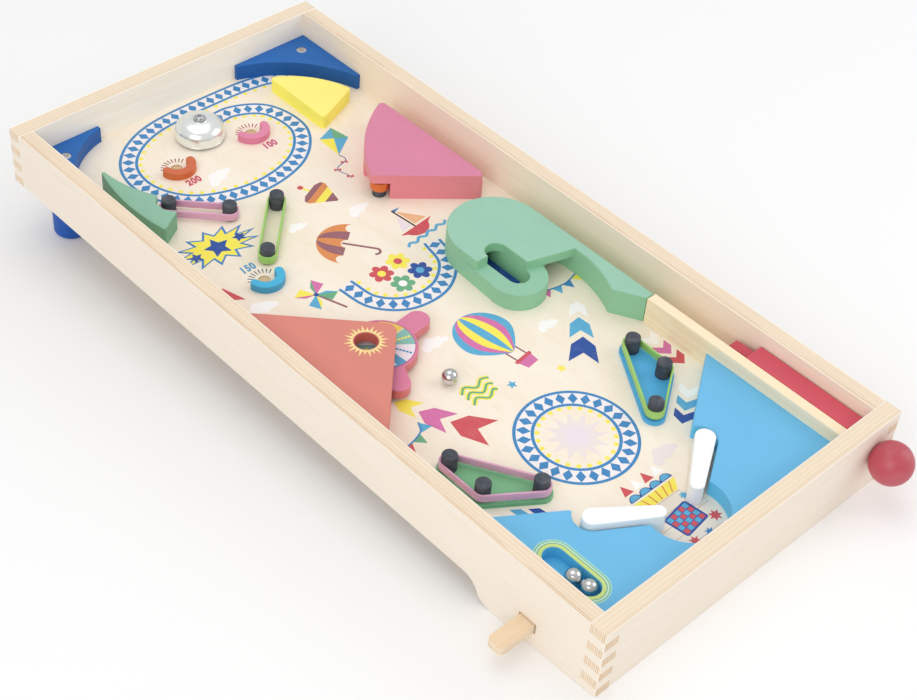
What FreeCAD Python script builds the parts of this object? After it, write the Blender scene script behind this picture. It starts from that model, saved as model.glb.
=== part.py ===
import FreeCAD, Part
import Sketcher
import math
import os
import re

# Table-top bagatelle game with flippers, built as a parametric assembly.
#
# Every piece is drawn in the cabinet's own coordinates: the origin is the outer front left
# corner at the level of the playfield's top face, +X to the right, +Y to the rear, +Z away
# from the playfield. The finished cabinet is then leaned on its table by the stand angle,
# with the origin of the model under the middle of its bounding box.

SIZES = [
    # cabinet
    ("board_length", 600.0), ("board_width", 279.0),
    ("side_wall", 12.5), ("end_wall", 13.6),
    ("rim_height", 33.0), ("rear_height", 46.2), ("front_height", 57.0),
    ("stand_angle", 3.3), ("curve_front", 88.0), ("curve_rear", 113.0),
    ("front_fingers", 8), ("rear_fingers", 7), ("corner_round", 2.0),
    ("board_thick", 4.0), ("tongue", 4.0), ("groove_gap", 0.3), ("groove_stop", 3.0),
    ("edge_round", 1.0),
    # lane and corner blocks
    ("lane_width", 17.8), ("divider_thick", 8.2), ("divider_height", 22.6), ("lane_gap", 0.7),
    ("block_height", 13.0), ("left_leg", 54.5), ("left_tip", 3.3), ("left_arc", 66.0),
    ("right_leg", 70.0), ("right_tip", 3.0), ("right_arc", 100.0),
    ("foot_x", 27.5), ("foot_back", 29.5), ("foot_radius", 14.0), ("foot_round", 3.0),
    ("screw_radius", 2.0), ("screw_head", 4.0), ("head_depth", 2.6), ("screw_fit", 0.05),
    ("foot_screw_grip", 22.0),
    # deflectors and tunnel
    ("yellow_height", 12.0), ("low_layer", 14.0), ("top_layer", 8.0), ("guide_height", 15.5),
    ("tunnel_share", 0.56875), ("pink_share", 0.5875), ("slot_inset", 54.2), ("slot_width", 17.0),
    ("turn_radius", 17.0), ("turn_back", 41.25), ("slot_back", 75.75), ("ring_wall", 12.9),
    ("head_radius", 36.25), ("arm_back", 154.25),
    # apron, tray, flippers
    ("apron_height", 12.0), ("centre_shift", 1.5), ("drain_y", 46.0), ("drain_radius", 28.5),
    ("apron_side_y", 127.5), ("tray_x", 33.5), ("tray_front", 42.0), ("tray_rear", 71.5),
    ("tray_radius", 7.5), ("tray_floor", 3.0), ("apron_round", 0.7), ("notch_radius", 12.1),
    ("pivot_reach", 52.8), ("pivot_y", 77.0), ("flipper_reach", 34.8), ("flipper_drop", 23.5),
    ("flipper_hub", 7.0), ("flipper_tip", 5.0), ("flipper_base", 0.6), ("flipper_top", 16.0),
    ("shaft_radius", 3.0), ("running_gap", 0.06), ("shaft_foot", 9.0),
    # push bars under the board
    ("bar_y", 57.9), ("bar_width", 12.4), ("bar_thick", 6.7), ("bar_top", 7.2), ("bar_out", 28.0),
    ("slot_gap", 1.0), ("head_out", 67.0), ("head_in", 48.0), ("head_width", 20.0),
    ("tip_round", 3.5), ("pin_radius", 2.0), ("pin_play", 0.35), ("swing", 45.0),
    ("crank_top", 4.4), ("crank_thick", 2.5), ("crank_end", 5.0), ("guide_gap", 0.5),
    ("guide_rail", 4.2), ("guide_wall_gap", 5.5), ("keeper", 3.0), ("stop_half", 6.0),
    ("stud_radius", 3.0), ("stud_length", 8.0),
    # plunger
    ("rod_inset", 9.0), ("rod_level", 10.7), ("rod_radius", 3.0), ("rod_end", 100.0),
    ("knob_radius", 15.0), ("knob_centre", 13.6), ("knob_gap", 0.5), ("knob_bore", 16.0),
    ("striker_width", 8.5), ("striker_front", 87.0), ("striker_length", 35.0), ("striker_top", 18.0),
    ("striker_base", 0.5), ("housing_width", 16.4), ("housing_length", 91.4), ("housing_height", 22.0),
    ("housing_gap", 0.7),
    ("spring_wire", 0.9), ("spring_radius", 4.1), ("spring_gap", 0.1), ("plunger_coils", 24),
    ("return_coils", 13),
    # pegs and bands
    ("peg_radius", 5.3), ("peg_height", 13.0), ("plate_thick", 3.0), ("plate_margin", 8.0),
    ("band_thick", 1.5), ("band_height", 6.0), ("band_lift", 1.5), ("band_gap", 0.05),
    ("peg_screw", 1.6), ("peg_screw_head", 3.2), ("peg_screw_depth", 8.0),
    ("ring_radius", 7.0), ("ring_low", 6.0), ("ring_high", 13.0), ("post_height", 13.8),
    # spinner under its roof
    ("spinner_x", 76.5), ("spinner_share", 0.46), ("wheel_radius", 25.0), ("lobe_reach", 36.5),
    ("lobe_radius", 8.5), ("lobe_angle", 6.0), ("wheel_base", 3.0), ("wheel_thick", 7.0),
    ("axle_radius", 3.0), ("axle_collar", 6.0), ("wheel_gap", 0.3), ("roof_base_gap", 1.5),
    ("roof_half", 77.5), ("roof_round", 8.0), ("sight_x", 62.3), ("sight_radius", 8.25),
    # pockets, bell, balls
    ("middle_share", 0.64), ("bell_shift", 4.0), ("bell_back", 57.0), ("bell_radius", 18.9),
    ("hook_radius", 10.75), ("hook_half", 3.25), ("hook_angle", 10.0), ("hook_height", 6.0),
    ("dimple_radius", 4.5), ("dimple_depth", 1.0), ("dimple_shift", 0.9),
    ("bell_base", 1.5), ("bell_skirt", 7.0), ("bell_top", 17.0), ("bell_shoulder", 7.0), ("bell_wall", 1.0),
    ("bell_post", 5.0), ("post_gap", 0.5), ("bell_nut", 3.8), ("nut_height", 2.2),
    ("ball_radius", 5.75), ("ball_gap", 0.2),
]

# Places that follow from the sizes: the lane keeps to the right wall, the bell and its pockets to the
# rear wall, and the pieces between stand at their share of the board's length.
PLACES = [
    ("inner_rear", "board_length - end_wall"),
    ("inner_right", "board_width - side_wall"),
    ("lane_wall", "inner_right - lane_width"),
    ("lane_x", "lane_wall - divider_thick"),
    ("centre_x", "(side_wall + lane_x) / 2 - centre_shift"),
    ("rod_x", "inner_right - rod_inset"),
    ("foot_y", "board_length - foot_back"),
    ("tunnel_rear", "board_length * tunnel_share"),
    ("head_x", "lane_wall - lane_gap - head_radius"),
    ("head_y", "tunnel_rear - head_radius"),
    ("slot_x", "lane_wall - slot_inset"),
    ("turn_y", "tunnel_rear - turn_back"),
    ("slot_front", "tunnel_rear - slot_back"),
    ("arm_y", "tunnel_rear - arm_back"),
    ("pink_front", "board_length * pink_share"),
    ("post_x", "lane_wall - 58.2"),
    ("post_y", "pink_front + 54.5"),
    ("spinner_y", "board_length * spinner_share"),
    ("middle_y", "board_length * middle_share"),
    ("bell_x", "centre_x + bell_shift"),
    ("bell_y", "board_length - bell_back"),
]

# Where the flippers, feet, pegs, pockets and balls stand on the playfield.
PIVOTS = ("centre_x - pivot_reach", "centre_x + pivot_reach")
FEET = ("foot_x", "board_width - foot_x")
LEFT_PEGS = [("39.7", "139.6"), ("70.7", "118.6"), ("39.7", "170.1")]
RIGHT_PEGS = [("lane_x - 31.3", "140.2"), ("lane_x - 30", "170.3"), ("lane_x - 63.3", "118.8")]
UPPER_PEGS = [("56.2", "inner_rear - 102.2"), ("87.3", "inner_rear - 133.1")]
MIDDLE_PEGS = [("78.8", "middle_y + 15.5"), ("121.2", "middle_y + 57.5")]
ALL_PEGS = LEFT_PEGS + RIGHT_PEGS + UPPER_PEGS + MIDDLE_PEGS + [("post_x", "post_y")]
POCKETS = {"blue": ("64", "(middle_y - 0.5)"), "orange": ("(centre_x - 33.4)", "(inner_rear - 64.9)"),
           "pink": ("(centre_x + 37)", "(inner_rear - 64.4)")}
TRAY_BALLS = {"ball_one": ("34.4", "43"), "ball_two": ("33", "54.8")}
FIELD_BALL = ("spinner_x + 17.7", "spinner_y - 48.4")

doc = FreeCAD.newDocument("bagatelle_game")
sheet = doc.addObject("Spreadsheet::Sheet", "Sizes")
for row, (alias, content) in enumerate(SIZES + PLACES, start=1):
    sheet.set(f"A{row}", alias)
    sheet.set(f"B{row}", f"={content}")
    sheet.setAlias(f"B{row}", alias)
doc.recompute()
ALIASES = {alias for alias, content in SIZES + PLACES}


def bound(text):
    """The sheet expression for a formula written with plain size names."""
    return re.sub(r"[a-z_]+", lambda word: ("Sizes." if word.group() in ALIASES else "") + word.group(), text)


def value(text):
    """The number that a formula gives now."""
    return float(sheet.evalExpression(bound(text)))


# Levels and places that several pieces share.
CABINET_LOW = "(rim_height - rear_height)"
SIDE_FRONT = "(end_wall + groove_stop)"
SIDE_REAR = "(inner_rear - groove_stop)"
BAR_LOW = "(-bar_top - bar_thick)"
CRANK_REACH = "(pivot_y - bar_y)"
HALF_TRAVEL = f"({CRANK_REACH} * tan(swing / 2))"


def table(across):
    """Height of the table under a point that lies the given distance behind the front."""
    return f"(rim_height - front_height - ({across}) * tan(stand_angle))"


# ---------------------------------------------------------------- sketch shapes
def pin_point(sketch, edge, end, x, y):
    """Hold one end or centre of an edge at a place given by two formulas."""
    for kind, formula in (("DistanceX", x), ("DistanceY", y)):
        index = sketch.addConstraint(Sketcher.Constraint(kind, -1, 1, edge, end, value(formula)))
        sketch.setExpression(f"Constraints[{index}]", bound(formula))


def hold_radius(sketch, edge, radius):
    """Give an arc or circle its radius."""
    index = sketch.addConstraint(Sketcher.Constraint("Radius", edge, value(radius)))
    sketch.setExpression(f"Constraints[{index}]", bound(radius))


def arc_between(start, end, radius):
    """The short arc from start to end; a positive radius bulges to the right of the way."""
    chord = end - start
    half = chord.Length / 2
    side = FreeCAD.Vector(-chord.y, chord.x, 0) / chord.Length * math.copysign(1, radius)
    centre = (start + end) / 2 + side * math.sqrt(max(radius * radius - half * half, 0))
    first, last = (start, end) if radius > 0 else (end, start)
    angles = [math.atan2(point.y - centre.y, point.x - centre.x) for point in (first, last)]
    circle = Part.Circle(centre, FreeCAD.Vector(0, 0, 1), abs(radius))
    return Part.ArcOfCircle(circle, angles[0], angles[1])


def outline(corners):
    """A closed loop of corners (x, y), or (x, y, radius) where an arc runs to the next one."""
    def draw(sketch):
        points = [FreeCAD.Vector(value(corner[0]), value(corner[1]), 0) for corner in corners]
        first = sketch.GeometryCount
        ends = []
        for place, corner in enumerate(corners):
            start, end = points[place], points[(place + 1) % len(points)]
            if len(corner) == 3:
                radius = value(corner[2])
                sketch.addGeometry(arc_between(start, end, radius))
                ends.append((1, 2) if radius > 0 else (2, 1))
            else:
                sketch.addGeometry(Part.LineSegment(start, end))
                ends.append((1, 2))
        for place, corner in enumerate(corners):
            edge, following = first + place, first + (place + 1) % len(corners)
            next_start = ends[(place + 1) % len(corners)][0]
            sketch.addConstraint(Sketcher.Constraint("Coincident", edge, ends[place][1],
                                                     following, next_start))
            pin_point(sketch, edge, ends[place][0], corner[0], corner[1])
            if len(corner) == 3:
                hold_radius(sketch, edge, f"abs({corner[2]})")
    return draw


def circle(x, y, radius):
    """A full circle."""
    def draw(sketch):
        centre = FreeCAD.Vector(value(x), value(y), 0)
        edge = sketch.addGeometry(Part.Circle(centre, FreeCAD.Vector(0, 0, 1), value(radius)))
        pin_point(sketch, edge, 3, x, y)
        hold_radius(sketch, edge, radius)
    return draw


def rectangle(left, low, right, high):
    """A rectangle between two corners."""
    return outline([(left, low), (right, low), (right, high), (left, high)])


def belt(wheels):
    """The line of a belt stretched round wheels (x, y, radius), listed counterclockwise."""
    def draw(sketch):
        count = len(wheels)
        centres = [FreeCAD.Vector(value(x), value(y), 0) for x, y, radius in wheels]
        radii = [value(radius) for x, y, radius in wheels]
        normals = []
        for place in range(count):
            other = (place + 1) % count
            way = centres[other] - centres[place]
            lean = (radii[place] - radii[other]) / way.Length
            way.normalize()
            normals.append(way * lean + FreeCAD.Vector(way.y, -way.x, 0) * math.sqrt(1 - lean * lean))
        arcs, runs = [], []
        for place in range(count):
            other = (place + 1) % count
            angles = [math.atan2(normal.y, normal.x) for normal in (normals[place - 1], normals[place])]
            wheel = Part.Circle(centres[place], FreeCAD.Vector(0, 0, 1), radii[place])
            arcs.append(sketch.addGeometry(Part.ArcOfCircle(wheel, angles[0], angles[1])))
            runs.append(sketch.addGeometry(Part.LineSegment(
                centres[place] + normals[place] * radii[place],
                centres[other] + normals[place] * radii[other])))
        for place, (x, y, radius) in enumerate(wheels):
            pin_point(sketch, arcs[place], 3, x, y)
            hold_radius(sketch, arcs[place], radius)
            sketch.addConstraint(Sketcher.Constraint("Tangent", arcs[place], 2, runs[place], 1))
            sketch.addConstraint(Sketcher.Constraint("Tangent", runs[place], 2,
                                                     arcs[(place + 1) % count], 1))
    return draw


# ---------------------------------------------------------------- pieces
class Piece:
    """One wooden, metal or plastic piece: a body to which pads, pockets and rounds are added."""

    def __init__(self, name):
        self.body = doc.addObject("PartDesign::Body", name)
        self.body.Label = name
        self.name = name

    def sketch(self, plane, level, shapes, x="0", y="0"):
        """A sketch on an origin plane, lifted by level and moved to x, y in that plane."""
        base = next(item for item in self.body.Origin.OriginFeatures if item.Role == plane)
        sketch = self.body.newObject("Sketcher::SketchObject", f"{self.name}_outline")
        sketch.AttachmentSupport = [(base, "")]
        sketch.MapMode = "FlatFace"
        for letter, formula in (("x", x), ("y", y), ("z", level)):
            sketch.setExpression(f"AttachmentOffset.Base.{letter}", bound(formula))
        for draw in shapes:
            draw(sketch)
        return sketch

    def pad(self, plane, level, shapes, length, **place):
        """Add material on the side that the plane's normal points to."""
        feature = self.body.newObject("PartDesign::Pad", f"{self.name}_pad")
        feature.Profile = self.sketch(plane, level, shapes, **place)
        feature.setExpression("Length", bound(length))
        return feature

    def pocket(self, plane, level, shapes, length=None, **place):
        """Cut away from the side that the plane's normal points to, or right through."""
        feature = self.body.newObject("PartDesign::Pocket", f"{self.name}_pocket")
        feature.Profile = self.sketch(plane, level, shapes, **place)
        if length is None:
            feature.Type = "ThroughAll"
        else:
            feature.setExpression("Length", bound(length))
        return feature

    def turn(self, plane, level, shapes, axis="V_Axis", **place):
        """Revolve a profile about the sketch's own upright or level axis."""
        feature = self.body.newObject("PartDesign::Revolution", f"{self.name}_turned")
        feature.Profile = self.sketch(plane, level, shapes, **place)
        feature.ReferenceAxis = (feature.Profile[0], [axis])
        feature.Angle = 360.0
        return feature

    def round(self, radius, chosen):
        """Round the edges for which chosen(edge) is true."""
        doc.recompute()
        tip = self.body.Tip
        names = [f"Edge{number}" for number, edge in enumerate(tip.Shape.Edges, start=1) if chosen(edge)]
        feature = self.body.newObject("PartDesign::Fillet", f"{self.name}_round")
        feature.Base = (tip, names)
        feature.setExpression("Radius", bound(radius))
        return feature


def upright_at(*places):
    """Picks the upright edges that stand at the given places."""
    spots = [(value(x), value(y)) for x, y in places]

    def chosen(edge):
        ends = [vertex.Point for vertex in edge.Vertexes]
        if len(ends) != 2 or math.hypot(ends[0].x - ends[1].x, ends[0].y - ends[1].y) > 1e-6:
            return False
        return any(math.hypot(ends[0].x - x, ends[0].y - y) < 0.01 for x, y in spots)
    return chosen


def level_at(height):
    """Picks the edges that lie at one height."""
    level = value(height)

    def chosen(edge):
        box = edge.BoundBox
        return abs(box.ZMin - level) < 1e-4 and abs(box.ZMax - level) < 1e-4
    return chosen


def flat_piece(name, base, height, shapes, corners=(), corner_radius=None, soften=True):
    """A piece sawn from sheet, with some corners rounded and its top edge softened."""
    piece = Piece(name)
    piece.pad("XY_Plane", base, shapes, height)
    if corners:
        piece.round(corner_radius, upright_at(*corners))
    if soften:
        piece.round("edge_round", level_at(f"({base}) + ({height})"))
    return piece


def group(name, pieces):
    """Several like pieces that share one name."""
    bundle = doc.addObject("Part::Compound", name)
    bundle.Label = name
    bundle.Links = [piece.body for piece in pieces]


# ---------------------------------------------------------------- cabinet
def finger_level(number, height, count):
    """Height of the line under the first number fingers of a corner, from the rim down."""
    return f"(rim_height - {number} * {height} / {count})"


def side_wall(name, start, inner_face, groove_start):
    """A long wall: fingers at both ends, a deep front part and a curve up to the rear part."""
    front_count, rear_count = int(value("front_fingers")), int(value("rear_fingers"))
    corners = [("end_wall", "rim_height")]
    for number in range(1, front_count):
        edge_before, edge_after = ("end_wall", "0") if number % 2 else ("0", "end_wall")
        level = finger_level(number, "front_height", "front_fingers")
        corners += [(edge_before, level), (edge_after, level)]
    corners.append(("0" if front_count % 2 == 0 else "end_wall", table("0")))
    rise = f"({CABINET_LOW} - {table('curve_front')})"
    run = "(curve_rear - curve_front)"
    bend = f"(({run} ^ 2 + {rise} ^ 2) / (4 * {rise}))"
    corners += [("curve_front", table("curve_front"), bend),
                ("(curve_front + curve_rear) / 2", f"{table('curve_front')} + {rise} / 2", f"(-{bend})"),
                ("curve_rear", CABINET_LOW)]
    rear_edges = ("inner_rear", "board_length")
    corners.append((rear_edges[(rear_count - 1) % 2], CABINET_LOW))
    for number in range(rear_count - 1, 0, -1):
        level = finger_level(number, "rear_height", "rear_fingers")
        corners += [(rear_edges[number % 2], level), (rear_edges[(number - 1) % 2], level)]
    corners.append(("inner_rear", "rim_height"))

    wall = Piece(name)
    wall.pad("YZ_Plane", start, [outline(corners)], "side_wall")
    groove = rectangle(groove_start, SIDE_FRONT, f"{groove_start} + tongue + groove_gap", SIDE_REAR)
    wall.pocket("XY_Plane", "0", [groove], "board_thick")
    half = "(bar_width / 2 + slot_gap)"
    bar_slot = rectangle(f"bar_y - {half}", f"{BAR_LOW} - slot_gap",
                         f"bar_y + {half}", "-bar_top + slot_gap")
    wall.pocket("YZ_Plane", f"{start} + side_wall", [bar_slot])
    outer = "0" if inner_face == "side_wall" else "board_width"
    wall.round("corner_round", upright_at((outer, "0"), (outer, "board_length")))


def end_wall(name, rear_face, height, fingers, holes=()):
    """A short wall with fingers up both sides and a groove for the playfield."""
    count = int(value(fingers))
    low = f"(rim_height - {height})"
    left, right = [("0", "rim_height")], [("board_width", "rim_height")]
    for number in range(1, count):
        level = finger_level(number, height, fingers)
        shift = ("0", "side_wall") if number % 2 else ("side_wall", "0")
        left += [(shift[0], level), (shift[1], level)]
        right += [(f"board_width - {shift[0]}", level), (f"board_width - {shift[1]}", level)]
    last = "side_wall" if count % 2 == 0 else "0"
    left.append((last, low))
    right.append((f"board_width - {last}", low))

    wall = Piece(name)
    wall.pad("XZ_Plane", f"-({rear_face})", [outline(left + right[::-1])], "end_wall")
    inner = rear_face if rear_face == "end_wall" else "inner_rear"
    way = "-1" if rear_face == "end_wall" else "1"
    depth = f"{inner} + {way} * (tongue + groove_gap)"
    low_side, high_side = (depth, inner) if way == "-1" else (inner, depth)
    wall.pocket("XY_Plane", "0", [rectangle("side_wall", low_side, "inner_right", high_side)], "board_thick")
    if holes:
        wall.pocket("XZ_Plane", f"-({rear_face} - end_wall)", holes)
    outer_y = "0" if rear_face == "end_wall" else "board_length"
    wall.round("corner_round", upright_at(("0", outer_y), ("board_width", outer_y)))


def playfield_board():
    """The board: a tongue on each side, and every hole that goes into it."""
    left, right = "side_wall - tongue", "inner_right + tongue"
    front, rear = "end_wall - tongue", "inner_rear + tongue"
    corners = [("side_wall", front), ("inner_right", front), ("inner_right", SIDE_FRONT),
               (right, SIDE_FRONT), (right, SIDE_REAR), ("inner_right", SIDE_REAR),
               ("inner_right", rear), ("side_wall", rear), ("side_wall", SIDE_REAR),
               (left, SIDE_REAR), (left, SIDE_FRONT), ("side_wall", SIDE_FRONT)]
    board = Piece("playfield_board")
    board.pad("XY_Plane", "-board_thick", [outline(corners)], "board_thick")
    peg_holes = [circle(x, y, "peg_screw + screw_fit") for x, y in ALL_PEGS]
    shaft_holes = [circle(x, "pivot_y", "shaft_radius + running_gap") for x in PIVOTS]
    foot_holes = [circle(x, "foot_y", "screw_radius + screw_fit") for x in FEET]
    middle_holes = [circle("spinner_x", "spinner_y", "axle_radius"),
                    circle("bell_x", "bell_y", "screw_radius + screw_fit")]
    board.pocket("XY_Plane", "0", peg_holes + shaft_holes + foot_holes + middle_holes)
    board.pocket("XY_Plane", "0", [circle(x, f"{y} + dimple_shift", "dimple_radius")
                                   for x, y in POCKETS.values()], "dimple_depth")


def corner_block(name, corners, screw_x):
    """A blue corner block with a hollow front, bored for the screw of the foot under it."""
    block = flat_piece(name, "0", "block_height", [outline(corners)])
    block.pocket("XY_Plane", "block_height", [circle(screw_x, "foot_y", "screw_radius + screw_fit")])
    block.pocket("XY_Plane", "block_height", [circle(screw_x, "foot_y", "screw_head + screw_fit")],
                 "head_depth")


def corner_blocks():
    """The blocks in both rear corners."""
    left_low, right_low = "inner_rear - left_leg", "inner_rear - right_leg"
    left = [("side_wall", "inner_rear"), ("side_wall", left_low),
            ("side_wall + left_tip", left_low, "-left_arc"),
            ("side_wall + left_leg", "inner_rear - left_tip"), ("side_wall + left_leg", "inner_rear")]
    right = [("inner_right", "inner_rear"), ("inner_right - right_leg", "inner_rear"),
             ("inner_right - right_leg", "inner_rear - right_tip", "-right_arc"),
             ("inner_right - right_tip", right_low), ("inner_right", right_low)]
    corner_block("rear_left_block", left, FEET[0])
    corner_block("rear_right_block", right, FEET[1])


def foot(name, x):
    """A turned foot from the board's underside down to the table, cut level with it."""
    piece = Piece(name)
    reach = "(foot_y + foot_radius)"
    piece.pad("XY_Plane", table(reach), [circle(x, "foot_y", "foot_radius")],
              f"-board_thick - {table(reach)}")
    front, rear = "(foot_y - 2 * foot_radius)", "(foot_y + 2 * foot_radius)"
    below = f"({table(rear)} - foot_radius)"
    wedge = [(front, below), (rear, below), (rear, table(rear)), (front, table(front))]
    piece.pocket("YZ_Plane", f"{x} + 2 * foot_radius", [outline(wedge)])
    piece.pocket("XY_Plane", "-board_thick", [circle(x, "foot_y", "screw_radius + screw_fit")],
                 "foot_screw_grip")
    lowest = value(table("foot_y - foot_radius")) + 0.5
    rim_length = value("4 * foot_radius")
    piece.round("foot_round", lambda edge: edge.BoundBox.ZMax < lowest and edge.Length > rim_length)


def screw(name, x, y, top, head, shank, head_height, length):
    """A screw that hangs from its head at top and reaches length below it."""
    profile = [("0", f"-({length})"), (shank, f"-({length})"), (shank, f"-({head_height})"),
               (head, f"-({head_height})"), (head, "0"), ("0", "0")]
    piece = Piece(name)
    piece.turn("XZ_Plane", f"-({y})", [outline(profile)], x=x, y=top)
    return piece


# ---------------------------------------------------------------- pieces on the playfield
PINK_OUTLINE = [("lane_wall - 0.2", "pink_front"), ("lane_wall - 0.2", "pink_front + 118.9", "130"),
                ("lane_wall - 67.4", "pink_front + 53.8")]
PINK_NOTCH = [("post_x - 7", "post_y - 22"), ("post_x + 11.8", "post_y + 3.6"),
              ("post_x + 3", "post_y + 29"), ("post_x - 26", "post_y + 29"), ("post_x - 26", "post_y - 22")]
YELLOW_OUTLINE = [("lane_wall - 40.7", "inner_rear - 95.4"), ("lane_wall + 1.3", "inner_rear - 78.4", "77.7"),
                  ("lane_wall - 40.2", "inner_rear - 27.4")]
CRESCENT_OUTLINE = [("32.2", "inner_rear - 130.9"), ("51", "inner_rear - 119.9"),
                    ("45", "inner_rear - 111.9"), ("45", "inner_rear - 102.9"),
                    ("50.9", "inner_rear - 95.9", "-88"), ("37.5", "inner_rear - 41.9", "156")]


def deflectors():
    """The yellow and pink deflectors and the green crescent guide."""
    flat_piece("yellow_deflector", "0", "yellow_height", [outline(YELLOW_OUTLINE)],
               [corner[:2] for corner in YELLOW_OUTLINE], "3")
    corners = [corner[:2] for corner in PINK_OUTLINE]
    base = flat_piece("pink_deflector_base", "0", "low_layer", [outline(PINK_OUTLINE)], corners[:2], "3",
                      soften=False)
    base.pocket("XY_Plane", "low_layer", [outline(PINK_NOTCH)])
    flat_piece("pink_deflector_top", "low_layer", "top_layer", [outline(PINK_OUTLINE)], corners, "3.5")
    flat_piece("crescent_guide", "0", "guide_height", [outline(CRESCENT_OUTLINE)],
               [CRESCENT_OUTLINE[place][:2] for place in (0, 1, 2, 5)], "1.5")


HALF_SLOT = "(slot_width / 2)"
TURN_X = "(slot_x + turn_radius)"
HEAD_RIGHT = "(head_x + head_radius)"
ARM = [("lane_wall - 8.7", "tunnel_rear - 86.25", "-94"), ("lane_wall - 20.2", "tunnel_rear - 132.25"),
       ("lane_wall - 7.7", "arm_y")]


def half_turn(x, y, radius, sign):
    """The two corners of a half circle over the point x, y, run leftwards (1) or rightwards (-1)."""
    return [(f"{x} + {sign} * ({radius})", y, f"{sign} * ({radius})"),
            (x, f"{y} + ({radius})", f"{sign} * ({radius})"), (f"{x} - {sign} * ({radius})", y)]


def tunnel():
    """The green tunnel: a low layer with a U-shaped channel, and a roof over it."""
    head = [(HEAD_RIGHT, "arm_y")] + half_turn("head_x", "head_y", "head_radius", 1)
    ring = f"({HALF_SLOT} + ring_wall)"
    low = head + [(f"slot_x - {ring}", "slot_front", ring), ("slot_x", f"slot_front - {ring}", ring),
                  (f"slot_x + {ring}", "slot_front")] + ARM
    outer, inner = f"(turn_radius + {HALF_SLOT})", f"(turn_radius - {HALF_SLOT})"
    bay = f"({TURN_X} + {outer})"
    front = "(tunnel_rear - 86.25)"
    mouth = [(f"{TURN_X} + {inner}", front), (f"{bay} + 3", front), (f"{bay} + 3", f"{front} + 7"),
             (bay, f"{front} + 21")]
    end = [(f"slot_x - {HALF_SLOT}", "slot_front", HALF_SLOT),
           ("slot_x", f"slot_front - {HALF_SLOT}", HALF_SLOT), (f"slot_x + {HALF_SLOT}", "slot_front")]
    channel = mouth + half_turn(TURN_X, "turn_y", outer, 1) + end + half_turn(TURN_X, "turn_y", inner, -1)
    base = Piece("tunnel_base")
    base.pad("XY_Plane", "0", [outline(low)], "low_layer")
    base.pocket("XY_Plane", "low_layer", [outline(channel)])
    open_end = ("head_x - head_radius", "tunnel_rear - 53.25")
    lip = (f"slot_x + {HALF_SLOT}", "tunnel_rear - 75.25")
    roof = head + [open_end] + half_turn("slot_x", open_end[1], HALF_SLOT, -1) + [lip] + ARM
    flat_piece("tunnel_roof", "low_layer", "top_layer", [outline(roof)], [lip, ARM[1][:2], open_end], "1.5")


def flipper_apron():
    """The blue apron with the drain between the flippers and the tray for spare balls."""
    right_side = [("lane_x", "end_wall"), ("lane_x", "apron_side_y + 2.5")]
    near_flipper = [("pivot_reach + 3.2", "pivot_y + 13.6", "-notch_radius"),
                    ("pivot_reach + 4.9", "pivot_y - 7.3")]
    mouth_x, mouth_y = "(drain_radius * cos(11))", "(drain_y + drain_radius * sin(11))"
    corners = [("side_wall", "end_wall")] + right_side
    corners += [(f"centre_x + {corner[0]}",) + tuple(corner[1:]) for corner in near_flipper]
    corners += [(f"centre_x + {mouth_x}", mouth_y, "-drain_radius"),
                ("centre_x", "drain_y - drain_radius", "-drain_radius"), (f"centre_x - {mouth_x}", mouth_y)]
    left = [("pivot_reach + 4.9", "pivot_y - 7.3", "-notch_radius"), ("pivot_reach + 3.2", "pivot_y + 13.6")]
    corners += [(f"centre_x - ({corner[0]})",) + tuple(corner[1:]) for corner in left]
    corners.append(("side_wall", "apron_side_y"))
    points = [corners[3][:2], corners[-2][:2]]
    apron = flat_piece("flipper_apron", "0", "apron_height", [outline(corners)], points, "1.2", soften=False)
    apron.pocket("XY_Plane", "apron_height", [belt([("tray_x", "tray_front", "tray_radius"),
                                                    ("tray_x", "tray_rear", "tray_radius")])],
                 "apron_height - tray_floor")
    top, behind = level_at("apron_height"), value("pivot_y - 8")
    wall_face, lane_face, tray_side = value("side_wall"), value("lane_x"), value("tray_x + tray_radius")

    def open_edge(edge):
        """Picks the top edges round the tray and those behind the flippers that face the playfield."""
        box = edge.BoundBox
        round_tray = box.XMin > wall_face + 0.01 and box.XMax < tray_side + 0.01
        rear = box.YMin > behind and box.XMax > wall_face + 0.01 and box.XMin < lane_face - 0.01
        return top(edge) and (round_tray or rear)
    apron.round("apron_round", open_edge)


def pocket_hook(name, x, y):
    """A low half ring that catches a ball, open to the rear, with round ends."""
    outer, inner = "(hook_radius + hook_half)", "(hook_radius - hook_half)"
    right, left = "(-hook_angle)", "(180 + hook_angle)"

    def at(radius, angle, along="0"):
        return (f"{x} + {radius} * cos({angle}) - {along} * sin({angle})",
                f"{y} + {radius} * sin({angle}) + {along} * cos({angle})")
    corners = [at(outer, left) + (outer,), at(outer, right) + ("hook_half",),
               at("hook_radius", right, "hook_half") + ("hook_half",), at(inner, right) + (f"-{inner}",),
               at(inner, left) + ("hook_half",), at("hook_radius", left, "(-hook_half)") + ("hook_half",)]
    flat_piece(name, "0", "hook_height", [outline(corners)])


# ---------------------------------------------------------------- pegs, plates and bands
def peg(name, x, y, base, height="peg_height"):
    """A ribbed peg, bored from below for its screw."""
    piece = Piece(name)
    piece.pad("XY_Plane", base, [circle(x, y, "peg_radius")], height)
    bore = piece.pocket("XY_Plane", base, [circle(x, y, "peg_screw + screw_fit")], "peg_screw_depth + 0.5")
    bore.Reversed = True
    piece.round("edge_round", level_at(f"({base}) + ({height})"))
    return piece


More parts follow.
